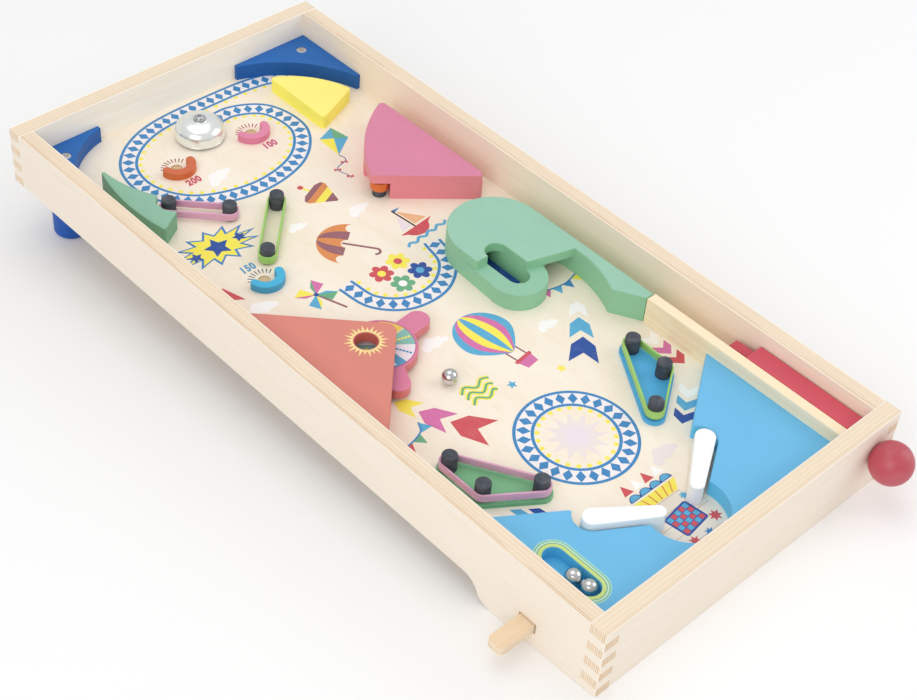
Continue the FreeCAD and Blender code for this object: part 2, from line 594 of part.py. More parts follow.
def bumper(side, pegs):
    """A three-cornered plate with its pegs and its rubber band."""
    plate = flat_piece(f"{side}_bumper_plate", "0", "plate_thick",
                       [belt([(x, y, "plate_margin") for x, y in pegs])], soften=False)
    plate.pocket("XY_Plane", "plate_thick", [circle(x, y, "peg_screw + screw_fit") for x, y in pegs])
    posts = [peg(f"{side}_peg_{number}", x, y, "plate_thick") for number, (x, y) in enumerate(pegs, 1)]
    group(f"{side}_bumper_pegs", posts)
    band(f"{side}_bumper_band", pegs, "plate_thick + band_lift")


def band(name, pegs, base):
    """A flat rubber band stretched round its pegs."""
    inner = "(peg_radius + band_gap)"
    piece = Piece(name)
    piece.pad("XY_Plane", base, [belt([(x, y, f"{inner} + band_thick") for x, y in pegs]),
                                 belt([(x, y, inner) for x, y in pegs])], "band_height")


def pegs_and_bands():
    """Both bumpers, the pegs that stand alone and their bands, and the ring bumper."""
    bumper("left", LEFT_PEGS)
    bumper("right", RIGHT_PEGS)
    field = UPPER_PEGS + MIDDLE_PEGS
    group("field_pegs", [peg(f"field_peg_{number}", x, y, "0") for number, (x, y) in enumerate(field, 1)])
    band("upper_band", UPPER_PEGS, "band_lift")
    band("middle_band", MIDDLE_PEGS, "band_lift")
    peg("ring_bumper_peg", "post_x", "post_y", "0", "post_height")
    ring = Piece("ring_bumper_ring")
    ring.pad("XY_Plane", "ring_low", [circle("post_x", "post_y", "ring_radius"),
                                      circle("post_x", "post_y", "peg_radius + band_gap")],
             "ring_high - ring_low")


def wood_screws():
    """The screws of the feet from above and those of the pegs from below."""
    screws = []
    for number, x in enumerate(FEET, 1):
        length = "block_height + board_thick + foot_screw_grip - 1"
        screws.append(screw(f"foot_screw_{number}", x, "foot_y", "block_height - 0.3", "screw_head",
                            "screw_radius", "head_depth - 0.3", length))
    lifts = ["plate_thick"] * 6 + ["0"] * 5
    for number, ((x, y), lift) in enumerate(zip(ALL_PEGS, lifts), 1):
        length = f"(board_thick + {lift} + peg_screw_depth)"
        profile = [("0", "0"), ("peg_screw_head", "0"), ("peg_screw_head", "1.8"), ("peg_screw", "1.8"),
                   ("peg_screw", f"1.8 + {length}"), ("0", f"1.8 + {length}")]
        piece = Piece(f"peg_screw_{number}")
        piece.turn("XZ_Plane", f"-({y})", [outline(profile)], x=x, y="-board_thick - 1.8")
        screws.append(piece)
    group("wood_screws", screws)


# ---------------------------------------------------------------- spinner and its roof
def roof():
    """The three-cornered roof and the block that carries it along the left wall."""
    low, high = "spinner_y - roof_half", "spinner_y + roof_half"
    apex = ("side_wall + roof_half", "spinner_y")
    panel = flat_piece("roof_panel", "low_layer", "top_layer",
                       [outline([("side_wall", high), ("side_wall", low), apex])], [apex], "roof_round")
    panel.pocket("XY_Plane", "low_layer + top_layer", [circle("sight_x", "spinner_y", "sight_radius")])
    clear = "(lobe_reach + lobe_radius + roof_base_gap)"
    reach = "(spinner_x - side_wall - roof_half)"
    along = f"(roof_half + ({reach} - sqrt(2 * {clear} ^ 2 - {reach} ^ 2)) / 2)"
    base = Piece("roof_base")
    base.pad("XY_Plane", "0", [outline([
        ("side_wall", high), ("side_wall", low),
        (f"side_wall + {along}", f"{low} + {along}", f"-{clear}"),
        (f"spinner_x - {clear}", "spinner_y", f"-{clear}"),
        (f"side_wall + {along}", f"{high} - {along}")])], "low_layer")


def spinner():
    """The three-lobed wheel on its axle."""
    wheel = Piece("spinner_wheel")
    hub = circle("spinner_x", "spinner_y", "wheel_radius")
    wheel.pad("XY_Plane", "wheel_base", [hub], "wheel_thick")
    for number in range(3):
        angle = f"(lobe_angle + {number} * 120)"
        end = (f"spinner_x + lobe_reach * cos({angle})", f"spinner_y + lobe_reach * sin({angle})",
               "lobe_radius")
        wheel.pad("XY_Plane", "wheel_base", [belt([("spinner_x", "spinner_y", "lobe_radius"), end])],
                  "wheel_thick")
    wheel.pocket("XY_Plane", "wheel_base + wheel_thick",
                 [circle("spinner_x", "spinner_y", "axle_radius + running_gap")])
    top, shortest = level_at("wheel_base + wheel_thick"), value("wheel_radius * 3 / 4")
    wheel.round("edge_round", lambda edge: top(edge) and edge.Length > shortest)

    axle = Piece("spinner_axle")
    profile = [("0", "-board_thick"), ("axle_radius", "-board_thick"), ("axle_radius", "0"),
               ("axle_collar", "0"), ("axle_collar", "wheel_base - wheel_gap"),
               ("axle_radius", "wheel_base - wheel_gap"), ("axle_radius", "low_layer - 0.1"),
               ("0", "low_layer - 0.1")]
    axle.turn("XZ_Plane", "-spinner_y", [outline(profile)], x="spinner_x")


# ---------------------------------------------------------------- bell and balls
def bell():
    """A pressed bell dome on a post, held by a screw with a round nut."""
    crown = "((bell_radius - bell_shoulder) ^ 2 - (bell_top - bell_shoulder) ^ 2 + bell_skirt ^ 2)"
    centre = f"({crown} / (2 * (bell_skirt + bell_shoulder - bell_top)))"
    sweep = f"(bell_top - {centre})"
    slope_x = f"((bell_radius - bell_shoulder) / ({sweep} - bell_shoulder))"
    slope_y = f"((bell_skirt - {centre}) / ({sweep} - bell_shoulder))"
    hole = "(screw_radius + screw_fit)"

    def crown_line(radius, shoulder):
        """Corners of one face of the dome, from the skirt up to the hole in the middle."""
        return [(f"bell_radius - bell_shoulder + {shoulder}", "bell_skirt", shoulder),
                (f"{radius} * {slope_x}", f"{centre} + {radius} * {slope_y}", radius),
                (hole, f"{centre} + sqrt({radius} ^ 2 - {hole} ^ 2)")]

    outside = crown_line(sweep, "bell_shoulder")
    inside = crown_line(f"({sweep} - bell_wall)", "(bell_shoulder - bell_wall)")
    back = [inside[2][:2] + (f"-{inside[1][2]}",), inside[1][:2] + (f"-{inside[0][2]}",), inside[0][:2]]
    dome = Piece("bell_dome")
    dome.turn("XZ_Plane", "-bell_y", [outline(
        [("bell_radius - bell_wall", "bell_base"), ("bell_radius", "bell_base")] + outside + back)],
              x="bell_x")

    post = Piece("bell_post")
    post.pad("XY_Plane", "0", [circle("bell_x", "bell_y", "bell_post"),
                               circle("bell_x", "bell_y", hole)], "bell_top - bell_wall - post_gap")
    nut = Piece("bell_screw")
    profile = [("0", "-board_thick"), ("screw_radius", "-board_thick"), ("screw_radius", "bell_top"),
               ("bell_nut", "bell_top"), ("bell_nut", "bell_top + 1", "3"),
               ("0.8", "bell_top + nut_height"), ("0", "bell_top + nut_height")]
    nut.turn("XZ_Plane", "-bell_y", [outline(profile)], x="bell_x")


def ball(name, x, y, floor):
    """A steel ball standing on its floor."""
    piece = Piece(name)
    profile = [("0", "-ball_radius", "ball_radius"), ("ball_radius", "0", "ball_radius"),
               ("0", "ball_radius")]
    piece.turn("XZ_Plane", f"-({y})", [outline(profile)], x=x, y=f"{floor} + ball_gap + ball_radius")


# ---------------------------------------------------------------- flippers and push bars
def flipper(side, pivot, sign):
    """A flipper with its shaft through the board and the crank under the board."""
    tip = (f"{pivot} + {sign} * flipper_reach", "pivot_y - flipper_drop", "flipper_tip")
    hub = (pivot, "pivot_y", "flipper_hub")
    blade = flat_piece(f"{side}_flipper", "flipper_base", "flipper_top - flipper_base",
                       [belt([hub, tip])])
    bore = blade.pocket("XY_Plane", "flipper_base", [circle(pivot, "pivot_y", "shaft_radius")],
                        "flipper_top - flipper_base - 3")
    bore.Reversed = True

    shaft = Piece(f"{side}_flipper_shaft")
    shaft.pad("XY_Plane", "-shaft_foot", [circle(pivot, "pivot_y", "shaft_radius")],
              "shaft_foot + flipper_top - 3")

    rest = f"(-90 - {sign} * swing / 2)"
    far = f"({CRANK_REACH} / cos(swing / 2))"

    def on_arm(distance, radius):
        return (f"{pivot} + {distance} * cos({rest})", f"pivot_y + {distance} * sin({rest})", radius)
    crank = Piece(f"{side}_crank")
    low = "-crank_top - crank_thick"
    crank.pad("XY_Plane", low, [belt([(pivot, "pivot_y", "flipper_hub"), on_arm(far, "crank_end")]),
                                belt([on_arm(f"({CRANK_REACH} - pin_play)", "pin_radius + pin_play"),
                                      on_arm(f"({far} + pin_play)", "pin_radius + pin_play")]),
                                circle(pivot, "pivot_y", "shaft_radius")], "crank_thick")


def push_bar(side, sign, wall_face):
    """A bar that slides through the side wall; its head carries the pin that turns the crank."""
    def along(distance):
        return f"centre_x - {sign} * ({distance})"
    half, half_head = "(bar_width / 2)", "(head_width / 2)"
    tip = f"{wall_face} - {sign} * bar_out"
    corners = [(tip, f"bar_y - {half}"), (along("head_out"), f"bar_y - {half}"),
               (along("head_out"), f"bar_y - {half_head}"), (along("head_in"), f"bar_y - {half_head}"),
               (along("head_in"), f"bar_y + {half_head}"), (along("head_out"), f"bar_y + {half_head}"),
               (along("head_out"), f"bar_y + {half}"), (tip, f"bar_y + {half}")]
    tips = [corners[0], corners[-1]]
    if sign == "-1":
        corners.reverse()
    pin_x = f"(centre_x - {sign} * (pivot_reach + {HALF_TRAVEL}))"
    bar = flat_piece(f"{side}_push_bar", BAR_LOW, "bar_thick", [outline(corners)], tips, "tip_round",
                     soften=False)
    bar.pocket("XY_Plane", "-bar_top", [circle(pin_x, "bar_y", "pin_radius")])
    pin = Piece(f"{side}_drive_pin")
    pin.pad("XY_Plane", BAR_LOW, [circle(pin_x, "bar_y", "pin_radius")],
            "bar_thick + bar_top - board_thick - 0.5")


def bar_guide(side, sign, wall_face):
    """Two rails glued under the board with a keeper strip across them; a bar slides between."""
    near = f"{wall_face} + {sign} * guide_wall_gap"
    far = f"centre_x - {sign} * (head_out + guide_gap)"
    left, right = (near, far) if sign == "1" else (far, near)
    inner, outer = "(bar_width / 2 + guide_gap)", "(bar_width / 2 + guide_gap + guide_rail)"
    deep = f"({BAR_LOW} - guide_gap)"
    guide = Piece(f"{side}_bar_guide")
    guide.pad("XY_Plane", f"{deep} - keeper",
              [rectangle(left, f"bar_y - {outer}", right, f"bar_y + {outer}")],
              f"-board_thick - {deep} + keeper")
    guide.pocket("XY_Plane", "-board_thick",
                 [rectangle(f"{left} - 5", f"bar_y - {inner}", f"{right} + 5", f"bar_y + {inner}")],
                 f"-board_thick - {deep}")
    return guide


def spring_stop():
    """The block in the middle that both return springs push against, with a stud for each."""
    stop = Piece("stop_block")
    half = "(bar_width / 2 + guide_gap + guide_rail)"
    deep = f"({BAR_LOW} - guide_gap)"
    block = rectangle("centre_x - stop_half", f"bar_y - {half}", "centre_x + stop_half", f"bar_y + {half}")
    stop.pad("XY_Plane", deep, [block], f"-board_thick - {deep}")
    middle = f"({BAR_LOW} + bar_thick / 2)"
    stop.pad("YZ_Plane", "centre_x - stop_half - stud_length", [circle("bar_y", middle, "stud_radius")],
             "2 * (stop_half + stud_length)")
    return stop


def coil_spring(name, start, way, length, coils):
    """A coil spring from a start point along a unit vector."""
    wire, radius = value("spring_wire"), value("spring_radius")
    climb = length - wire
    path = Part.makeHelix(climb / coils, climb, radius)
    profile = Part.Wire([Part.makeCircle(wire / 2, FreeCAD.Vector(radius, 0, 0), FreeCAD.Vector(0, 1, 0))])
    coil = Part.Wire(path).makePipeShell([profile], True, True)
    feature = doc.addObject("Part::Feature", name)
    feature.Label = name
    feature.Shape = coil
    feature.Placement = FreeCAD.Placement(start + way * (wire / 2),
                                          FreeCAD.Rotation(FreeCAD.Vector(0, 0, 1), way))


def flipper_works():
    """Both flippers with their bars, guides and springs."""
    for side, sign, wall_face in (("left", "1", "0"), ("right", "-1", "board_width")):
        flipper(side, f"(centre_x - {sign} * pivot_reach)", sign)
        push_bar(side, sign, wall_face)
    guides = [bar_guide("left", "1", "side_wall"), bar_guide("right", "-1", "inner_right"), spring_stop()]
    group("bar_guides", guides)
    gap = value("spring_gap")
    middle = value(f"{BAR_LOW} + bar_thick / 2")
    length = value("head_in - stop_half") - 2 * gap
    for side, sign in (("left", 1), ("right", -1)):
        start = FreeCAD.Vector(value("centre_x") - sign * (value("head_in") - gap), value("bar_y"), middle)
        coil_spring(f"{side}_return_spring", start, FreeCAD.Vector(sign, 0, 0), length,
                    int(value("return_coils")))


# ---------------------------------------------------------------- plunger
def plunger():
    """Knob, rod, striker and spring, and the fixed housing round them."""
    back = "(knob_centre - knob_gap)"
    flat = f"sqrt(knob_radius ^ 2 - {back} ^ 2)"
    knob = Piece("plunger_knob")
    bore_end = "(knob_centre - knob_bore)"
    profile = [("0", "-knob_radius", "knob_radius"), ("knob_radius", "0", "knob_radius"), (flat, back),
               ("rod_radius", back), ("rod_radius", bore_end), ("0", bore_end)]
    knob.turn("XY_Plane", "rod_level", [outline(profile)], x="rod_x", y="-knob_centre")

    rod = Piece("plunger_rod")
    rod.pad("XZ_Plane", "-rod_end", [circle("rod_x", "rod_level", "rod_radius")], "rod_end + knob_bore")

    striker = Piece("plunger_striker")
    half = "(striker_width / 2)"
    striker.pad("XY_Plane", "striker_base",
                [rectangle(f"rod_x - {half}", "striker_front",
                           f"rod_x + {half}", "striker_front + striker_length")],
                "striker_top - striker_base")
    striker.pocket("XZ_Plane", "-striker_front", [circle("rod_x", "rod_level", "rod_radius")],
                   "rod_end - striker_front")
    striker.round("edge_round", level_at("striker_top"))

    housing = Piece("plunger_housing")
    groove, outer = "(striker_width / 2 + housing_gap)", "(housing_width / 2)"
    housing.pad("XY_Plane", "0", [rectangle(f"rod_x - {outer}", "end_wall", f"rod_x + {outer}",
                                            "end_wall + housing_length")], "housing_height")
    housing.pocket("XZ_Plane", "0", [rectangle(f"rod_x - {groove}", "-1", f"rod_x + {groove}",
                                               "striker_top + housing_gap")])
    housing.round("edge_round", level_at("housing_height"))
    start = FreeCAD.Vector(value("rod_x"), value("end_wall + spring_gap"), value("rod_level"))
    coil_spring("plunger_spring", start, FreeCAD.Vector(0, 1, 0),
                value("striker_front - end_wall - 2 * spring_gap"), int(value("plunger_coils")))


# ---------------------------------------------------------------- assembly
side_wall("left_wall", "0", "side_wall", "side_wall - tongue - groove_gap")
side_wall("right_wall", "inner_right", "inner_right", "inner_right")
end_wall("front_wall", "end_wall", "front_height", "front_fingers",
         [circle("rod_x", "rod_level", "rod_radius + running_gap")])
end_wall("rear_wall", "board_length", "rear_height", "rear_fingers")
playfield_board()
flat_piece("lane_divider", "0", "divider_height",
           [rectangle("lane_x", "end_wall", "lane_wall", "arm_y - 1")])
corner_blocks()
foot("left_foot", FEET[0])
foot("right_foot", FEET[1])
deflectors()
tunnel()
flipper_apron()
for colour, (pocket_x, pocket_y) in POCKETS.items():
    pocket_hook(f"{colour}_pocket_hook", pocket_x, pocket_y)
pegs_and_bands()
wood_screws()
roof()
spinner()
bell()
for ball_name, (ball_x, ball_y) in TRAY_BALLS.items():
    ball(ball_name, ball_x, ball_y, "tray_floor")
ball("ball_three", FIELD_BALL[0], FIELD_BALL[1], "0")
flipper_works()
plunger()
doc.recompute()

for item in doc.Objects:
    if "Invalid" in item.State or "Error" in item.State:
        raise RuntimeError(f"{item.Label} failed: {item.State}")

# The outer objects are the pieces; a body that sits in a group is written with its group.
grouped = {link.Name for item in doc.Objects if item.TypeId == "Part::Compound" for link in item.Links}
kinds = ("PartDesign::Body", "Part::Compound", "Part::Feature")
pieces = [item for item in doc.Objects if item.TypeId in kinds and item.Name not in grouped]

# Lean the cabinet on its table and bring the middle of its footprint to the origin.
lean = FreeCAD.Placement(FreeCAD.Vector(0, 0, 0),
                         FreeCAD.Rotation(FreeCAD.Vector(1, 0, 0), value("stand_angle")))
whole = FreeCAD.BoundBox()
for piece in pieces:
    leaned = piece.Shape.copy()
    leaned.Placement = lean.multiply(leaned.Placement)
    whole.add(leaned.BoundBox)
lean.Base = FreeCAD.Vector(-whole.Center.x, -whole.Center.y, -whole.ZMin)
for piece in pieces:
    piece.Placement = lean.multiply(piece.Placement)
doc.recompute()
print("stand placement", [round(number, 4) for number in lean.Base], "angle", value("stand_angle"))
print("overall size", round(whole.XLength, 2), round(whole.YLength, 2), round(whole.ZLength, 2))

os.makedirs("parts", exist_ok=True)
for piece in pieces:
    if piece.Shape.isNull() or not piece.Shape.isValid():
        raise RuntimeError(f"{piece.Label} has no valid shape")
    piece.Shape.exportStep(f"parts/{piece.Label}.step")
print(len(pieces), "pieces written")
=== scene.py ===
import math

import bmesh
import bpy
import numpy as np
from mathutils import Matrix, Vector


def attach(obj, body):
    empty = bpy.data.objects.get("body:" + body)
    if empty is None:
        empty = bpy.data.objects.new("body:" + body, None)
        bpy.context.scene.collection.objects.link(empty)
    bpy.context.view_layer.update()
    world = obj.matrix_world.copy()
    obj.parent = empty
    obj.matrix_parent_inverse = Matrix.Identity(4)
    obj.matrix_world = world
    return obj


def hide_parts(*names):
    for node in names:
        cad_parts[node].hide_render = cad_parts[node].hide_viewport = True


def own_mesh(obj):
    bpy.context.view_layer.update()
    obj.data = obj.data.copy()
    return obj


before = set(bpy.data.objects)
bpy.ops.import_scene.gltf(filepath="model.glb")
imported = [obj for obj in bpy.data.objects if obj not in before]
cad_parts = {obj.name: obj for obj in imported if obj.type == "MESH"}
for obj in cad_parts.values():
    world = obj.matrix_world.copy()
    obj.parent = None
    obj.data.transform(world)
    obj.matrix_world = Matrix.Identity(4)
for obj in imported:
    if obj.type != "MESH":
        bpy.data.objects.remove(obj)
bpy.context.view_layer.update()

# ---------------- the cabinet's own frame
# Pieces are worked out in the cabinet's coordinates in millimetres: x to the right and y to the
# rear from the outer front left corner, z up from the playfield's printed face.
X, Y, Z = range(3)
LEAN = math.radians(3.3)
CORNER = np.array([-139.5, -285.2858, 24.0753])
LENGTH, WIDTH, SIDE_WALL, END_WALL = 600, 279, 12.5, 13.6
PLAYFIELD, PLATE_TOP, WHEEL_TOP, APRON_TOP, BLOCK_TOP, ROOF_TOP = 0.0, 3.0, 10.0, 12.0, 12.7, 22.0

# each band's pegs are listed counterclockwise
LEFT_PEGS = [(39.7, 139.6), (70.7, 118.6), (39.7, 170.1)]
RIGHT_PEGS = [(209.2, 140.2), (210.5, 170.3), (177.2, 118.8)]
UPPER_PEGS = [(56.2, 484.2), (87.3, 453.3)]
MIDDLE_PEGS = [(78.8, 399.5), (121.2, 441.5)]
RING_POST = (190.5, 407.0)
BLUE_POCKET, ORANGE_POCKET, PINK_POCKET = (64.0, 383.5), (91.6, 521.5), (162.0, 522.0)
BELL = (129.0, 543.0)
SPINNER, ROOF_HOLE = (76.5, 276.0), (62.3, 276.0)
MEDALLION, DRAIN = (125, 139), (125, 47)


def row_frame(points):
    """Cabinet millimetres to metres in the row frame: leaned about x, then moved by the corner."""
    x, y, z = np.asarray(points, float).T
    cosine, sine = math.cos(LEAN), math.sin(LEAN)
    return (np.stack([x, y * cosine - z * sine, y * sine + z * cosine], 1) + CORNER) / 1000


# ---------------- colours
def paint(code):
    """Six hexadecimal digits as linear light: ((c + 0.055) / 1.055) ** 2.4 above the toe."""
    shares = [int(code[place:place + 2], 16) / 255 for place in (0, 2, 4)]
    light = [share / 12.92 if share < 0.04045 else ((share + 0.055) / 1.055) ** 2.4 for share in shares]
    return (*light, 1.0)


CREAM, WHITE, INK_BLACK = paint("f6e7d0"), paint("fbf9f6"), paint("2a2625")
RAIL_BLUE, DEEP_BLUE, SKY = paint("3c86c0"), paint("234f9f"), paint("58acd4")
YELLOW, PINK, RED = paint("f9ea58"), paint("d671a9"), paint("d0525a")
LEAF, ORANGE, LILAC, PLUM = paint("69ae84"), paint("dd8c50"), paint("ecdfe6"), paint("96606a")
PALE_LILAC, PEACH, SUN = paint("eee2e0"), paint("ecb88a"), paint("f5dd96")


# ---------------- finishes
class Field:
    """A number or vector that varies over a surface. It wraps a socket; arithmetic adds Math nodes."""

    def __init__(self, finish, socket):
        self.finish = finish
        self.socket = socket

    def math(self, operation, *values):
        return self.finish.node("ShaderNodeMath", {"operation": operation}, dict(enumerate(values)))

    def __add__(self, other):
        return self.math("ADD", self, other)

    def __sub__(self, other):
        return self.math("SUBTRACT", self, other)

    def __rsub__(self, other):
        return self.math("SUBTRACT", other, self)

    def __mul__(self, other):
        return self.math("MULTIPLY", self, other)

    def __truediv__(self, other):
        return self.math("DIVIDE", self, other)

    def __abs__(self):
        return self.math("ABSOLUTE", self)

    __radd__ = __add__
    __rmul__ = __mul__

    def part(self):
        """What is left over a whole number."""
        return self.math("FRACT", self)

    def root(self):
        return self.math("SQRT", self)

    def least(self, other):
        return self.math("MINIMUM", self, other)

    def step(self, low, high):
        """0 below low, 1 above high, and a smooth rise between."""
        return self.finish.node("ShaderNodeMapRange", {"interpolation_type": "SMOOTHSTEP"},
                                {"Value": self, "From Min": low, "From Max": high})


class Finish:
    """A material: one Principled shader, and the nodes that drive its colour, roughness and bump."""

    def __init__(self, name, colour, roughness=0.5, **constants):
        self.material = bpy.data.materials.new(name)
        self.material.use_nodes = True
        self.tree = self.material.node_tree
        self.shader = self.tree.nodes["Principled BSDF"]
        self.put("Base Color", colour)
        self.put("Roughness", roughness)
        for socket, constant in constants.items():
            self.put(socket.replace("_", " "), constant)

    def put(self, name, content):
        """Set a socket of the shader to a constant, or link a field to it."""
        self.fill(self.shader.inputs[name], content)

    def fill(self, socket, content):
        if isinstance(content, Field):
            self.tree.links.new(content.socket, socket)
        else:
            socket.default_value = content

    def node(self, kind, settings=None, inputs=None, output=0):
        """Any node: its settings first, then the values or links of its sockets. Gives one output."""
        made = self.tree.nodes.new(kind)
        for name, setting in (settings or {}).items():
            setattr(made, name, setting)
        for name, content in (inputs or {}).items():
            self.fill(made.inputs[name], content)
        return Field(self, made.outputs[output])

    def cabinet(self, size=(1, 1, 1), centre=(0, 0, 0)):
        """Cabinet coordinates round a centre, in units of size millimetres."""
        return self.node("ShaderNodeMapping", {"vector_type": "TEXTURE"},
                         {"Vector": self.node("ShaderNodeTexCoord", output="Object"),
                          "Location": Vector(row_frame([centre])[0]), "Rotation": (LEAN, 0, 0),
                          "Scale": [0.001 * share for share in size]})

    def axes(self, vector):
        """The three parts of a vector."""
        return [self.node("ShaderNodeSeparateXYZ", None, {"Vector": vector}, output=axis) for axis in "XYZ"]

    def noise(self, size=(1, 1, 1), detail=3.0, roughness=0.5, scale=1.0, vector=None):
        """Noise from 0 to 1 whose waves are about size millimetres long, or noise of another vector."""
        return self.node("ShaderNodeTexNoise", None,
                         {"Vector": vector or self.cabinet(size), "Scale": scale, "Detail": detail,
                          "Roughness": roughness}, output="Fac")

    def mix(self, share, first, second, blend="MIX"):
        """A colour between two others, or two colours blended."""
        return self.node("ShaderNodeMix", {"data_type": "RGBA", "blend_type": blend},
                         {"Factor": share, 6: first, 7: second}, output=2)

    def apply(self, colour, roughness, height=None, distance=0.0):
        """Put on the colour, the roughness and a bump of height times distance, in metres."""
        self.put("Base Color", colour)
        self.put("Roughness", roughness)
        if height is not None:
            self.put("Normal", self.node("ShaderNodeBump", None, {"Height": height, "Distance": distance}))
        return self.material


def plywood(name, across, thickness, along, ends, outer=0.0, plies=9, lines=1.0, face=("f3e8da", "ecdecb")):
    """Birch plywood. across is the axis through the sheet and along the axis of its outer grain.

    The plies are a wave across the sheet: a glue line at each whole number of plies, and every
    second ply darker because it shows end grain. The outer faces lie inside the first ply. The first
    two glue lines are the strongest, and all of them show again on the ends of the fingers."""
    finish = Finish(name, CREAM, 0.5, Specular_IOR_Level=0.35)

    def grain(wide, long, detail, roughness=0.5):
        return finish.noise([long if axis == along else wide for axis in range(3)], detail, roughness)

    axes = finish.axes(finish.cabinet())
    ply = (axes[across] - outer) / thickness * plies + (grain(9, 160, 2.0) - 0.5) * 0.22
    inside = ply.step(0.45, 0.6) * (1 - ply.step(plies - 0.6, plies - 0.45))
    cross_ply = (ply * 0.5).part().step(0.45, 0.55)
    streaks, flecks = grain(1.6, 46, 5.0, 0.6), grain(0.5, 6, 3.0, 0.7)
    butt = 1 - (axes[along] - ends[0]).least(ends[1] - axes[along]).step(0.3, 0.8)

    glue = abs(ply.part() - 0.5).step(0.32, 0.45)
    strength = (0.28 + 0.62 * (1 - ply.step(2.2, 3.2))) * lines
    unbroken = grain(3, 60, 2.0).step(0.3, 0.56)
    glue_cover = unbroken * strength + butt * (0.3 + 0.4 * lines)

    veneer = finish.mix(streaks.step(0.3, 0.75) * 0.6, paint(face[0]), paint(face[1]))
    veneer = finish.mix(flecks.step(0.62, 0.8) * 0.2, veneer, paint("e4cdaa"))
    edge = finish.mix(cross_ply * (0.15 + flecks * 0.35), paint("f4e3cb"), paint("e9d0ad"))
    edge = finish.mix(glue * glue_cover, edge, paint("bd8a5e"))
    surface = finish.mix(inside, veneer, edge)
    surface = finish.mix(butt * 0.12 * lines, surface, paint("cfae82"))
    return finish.apply(surface, 0.46 + streaks * 0.14 + inside * 0.08,
                        streaks * 0.4 + flecks * 0.2 - glue * inside * 0.8, 0.00012)


def painted(name, top, side, level, sheen):
    """Satin paint on wood: the face above level has the top colour, edges below it the side colour.

    A slow noise varies the shade, and a fine one gives the roller's orange peel."""
    finish = Finish(name, paint(top), sheen, Specular_IOR_Level=0.45)
    height = finish.axes(finish.cabinet())[Z]
    cloudy = finish.noise((22, 30, 22))
    peel = finish.noise(detail=2.0, scale=1.7)
    grain = finish.noise((1.2, 26, 1.2), 3.0, 0.6)
    colour = finish.mix(height.step(level - 0.75, level - 0.2), paint(side), paint(top))
    lighter = finish.mix(1.0, colour, (1.09, 1.07, 1.06, 1), "MULTIPLY")
    colour = finish.mix(cloudy.step(0.35, 0.75) * 0.5, colour, lighter)
    colour = finish.mix(grain.step(0.58, 0.8) * 0.03, colour, INK_BLACK)
    return finish.apply(colour, sheen - 0.05 + cloudy * 0.12 + grain * 0.06,
                        peel * 0.5 + grain * 0.5, 0.00006)


def printed_board():
    """The playfield: cream satin lacquer with a trace of swirling birch figure under it."""
    finish = Finish("cream_playfield_lacquer", CREAM, 0.34, Specular_IOR_Level=0.4)
    figure = finish.noise((34, 90, 20), 4.0, 0.55)
    swirl = abs((figure * 9.0).part() - 0.5)
    grain = finish.noise((1.1, 34, 2), 4.0, 0.6)
    height = finish.axes(finish.cabinet())[Z]
    colour = finish.mix(figure.step(0.35, 0.7) * 0.6, paint("f9efdf"), paint("f3e4ce"))
    colour = finish.mix(swirl.step(0.3, 0.5) * 0.12, colour, paint("ead1ab"))
    colour = finish.mix(grain.step(0.5, 0.75) * 0.3, colour, paint("efd9b8"))
    colour = finish.mix(height.step(-0.6, -0.2), paint("dcc199"), colour)
    return finish.apply(colour, 0.3 + grain * 0.12, grain * 0.5 + figure * 0.5, 0.00005)


def lane_wood():
    """The lane divider: warm straight-grained solid wood with late-wood lines along it."""
    finish = Finish("divider_straight_grain", paint("eecf9d"), 0.42)
    x, y, z = finish.axes(finish.cabinet())
    rings = abs((x * 0.55 + z * 0.16 + finish.noise((14, 120, 14), 2.0) * 4.0).part() - 0.5)
    pores = finish.noise((0.4, 9, 0.4), 4.0, 0.7)
    colour = finish.mix(rings.step(0.1, 0.5) * 0.5, paint("fdeccb"), paint("f6dbb1"))
    colour = finish.mix(pores.step(0.55, 0.8) * 0.25, colour, paint("d3a670"))
    return finish.apply(colour, 0.4 + pores * 0.15, rings * 0.4 + pores * 0.6, 0.0001)


def rubber(name, code, dust=0.25, roughness=0.62, **constants):
    """Moulded rubber or silicone: a faint bloom in patches and a fine matt tooth."""
    finish = Finish(name, paint(code), roughness, Specular_IOR_Level=0.4, **constants)
    bloom = finish.noise((7, 7, 5), 4.0, 0.6)
    tooth = finish.noise(detail=2.0, scale=5.0)
    colour = finish.mix(bloom.step(0.4, 0.8) * (0.3 * dust), paint(code), WHITE)
    return finish.apply(colour, roughness - 0.08 + bloom * 0.16, tooth, 0.00002)


def metal(name, code, roughness, centre=None, swirl=1.0, smears=0.1, metallic=1.0):
    """Bare or plated metal, less than wholly metallic for a satin plate.

    Turning marks are rings of noise round the centre, if one is given."""
    finish = Finish(name, paint(code), roughness, Metallic=metallic)
    cloudy = marks = finish.noise((9, 9, 9), 4.0, 0.6)
    if centre:
        x, y, z = finish.axes(finish.cabinet(centre=(*centre, 0)))
        rings = {"X": (x * x + y * y).root() * 3.0, "Y": z * 3.0}
        marks = finish.noise(roughness=0.7, vector=finish.node("ShaderNodeCombineXYZ", None, rings))
    colour = finish.mix(cloudy.step(0.35, 0.75) * smears, paint(code), paint("8d949b"))
    return finish.apply(colour, roughness + cloudy * smears * 0.6, marks, 0.00001 * swirl)


def gloss(name, code, roughness, coat):
    """Glossy moulded plastic or lacquer, with slow waviness in its shine."""
    finish = Finish(name, paint(code), roughness, Coat_Weight=coat, Coat_Roughness=0.08)
    waves = finish.noise((14, 14, 14), 2.0)
    fine = finish.noise(scale=0.9)
    colour = finish.mix(waves.step(0.4, 0.7) * 0.036, paint(code), WHITE)
    return finish.apply(colour, roughness + fine * 0.1, waves * 0.7 + fine * 0.3, 0.00008)


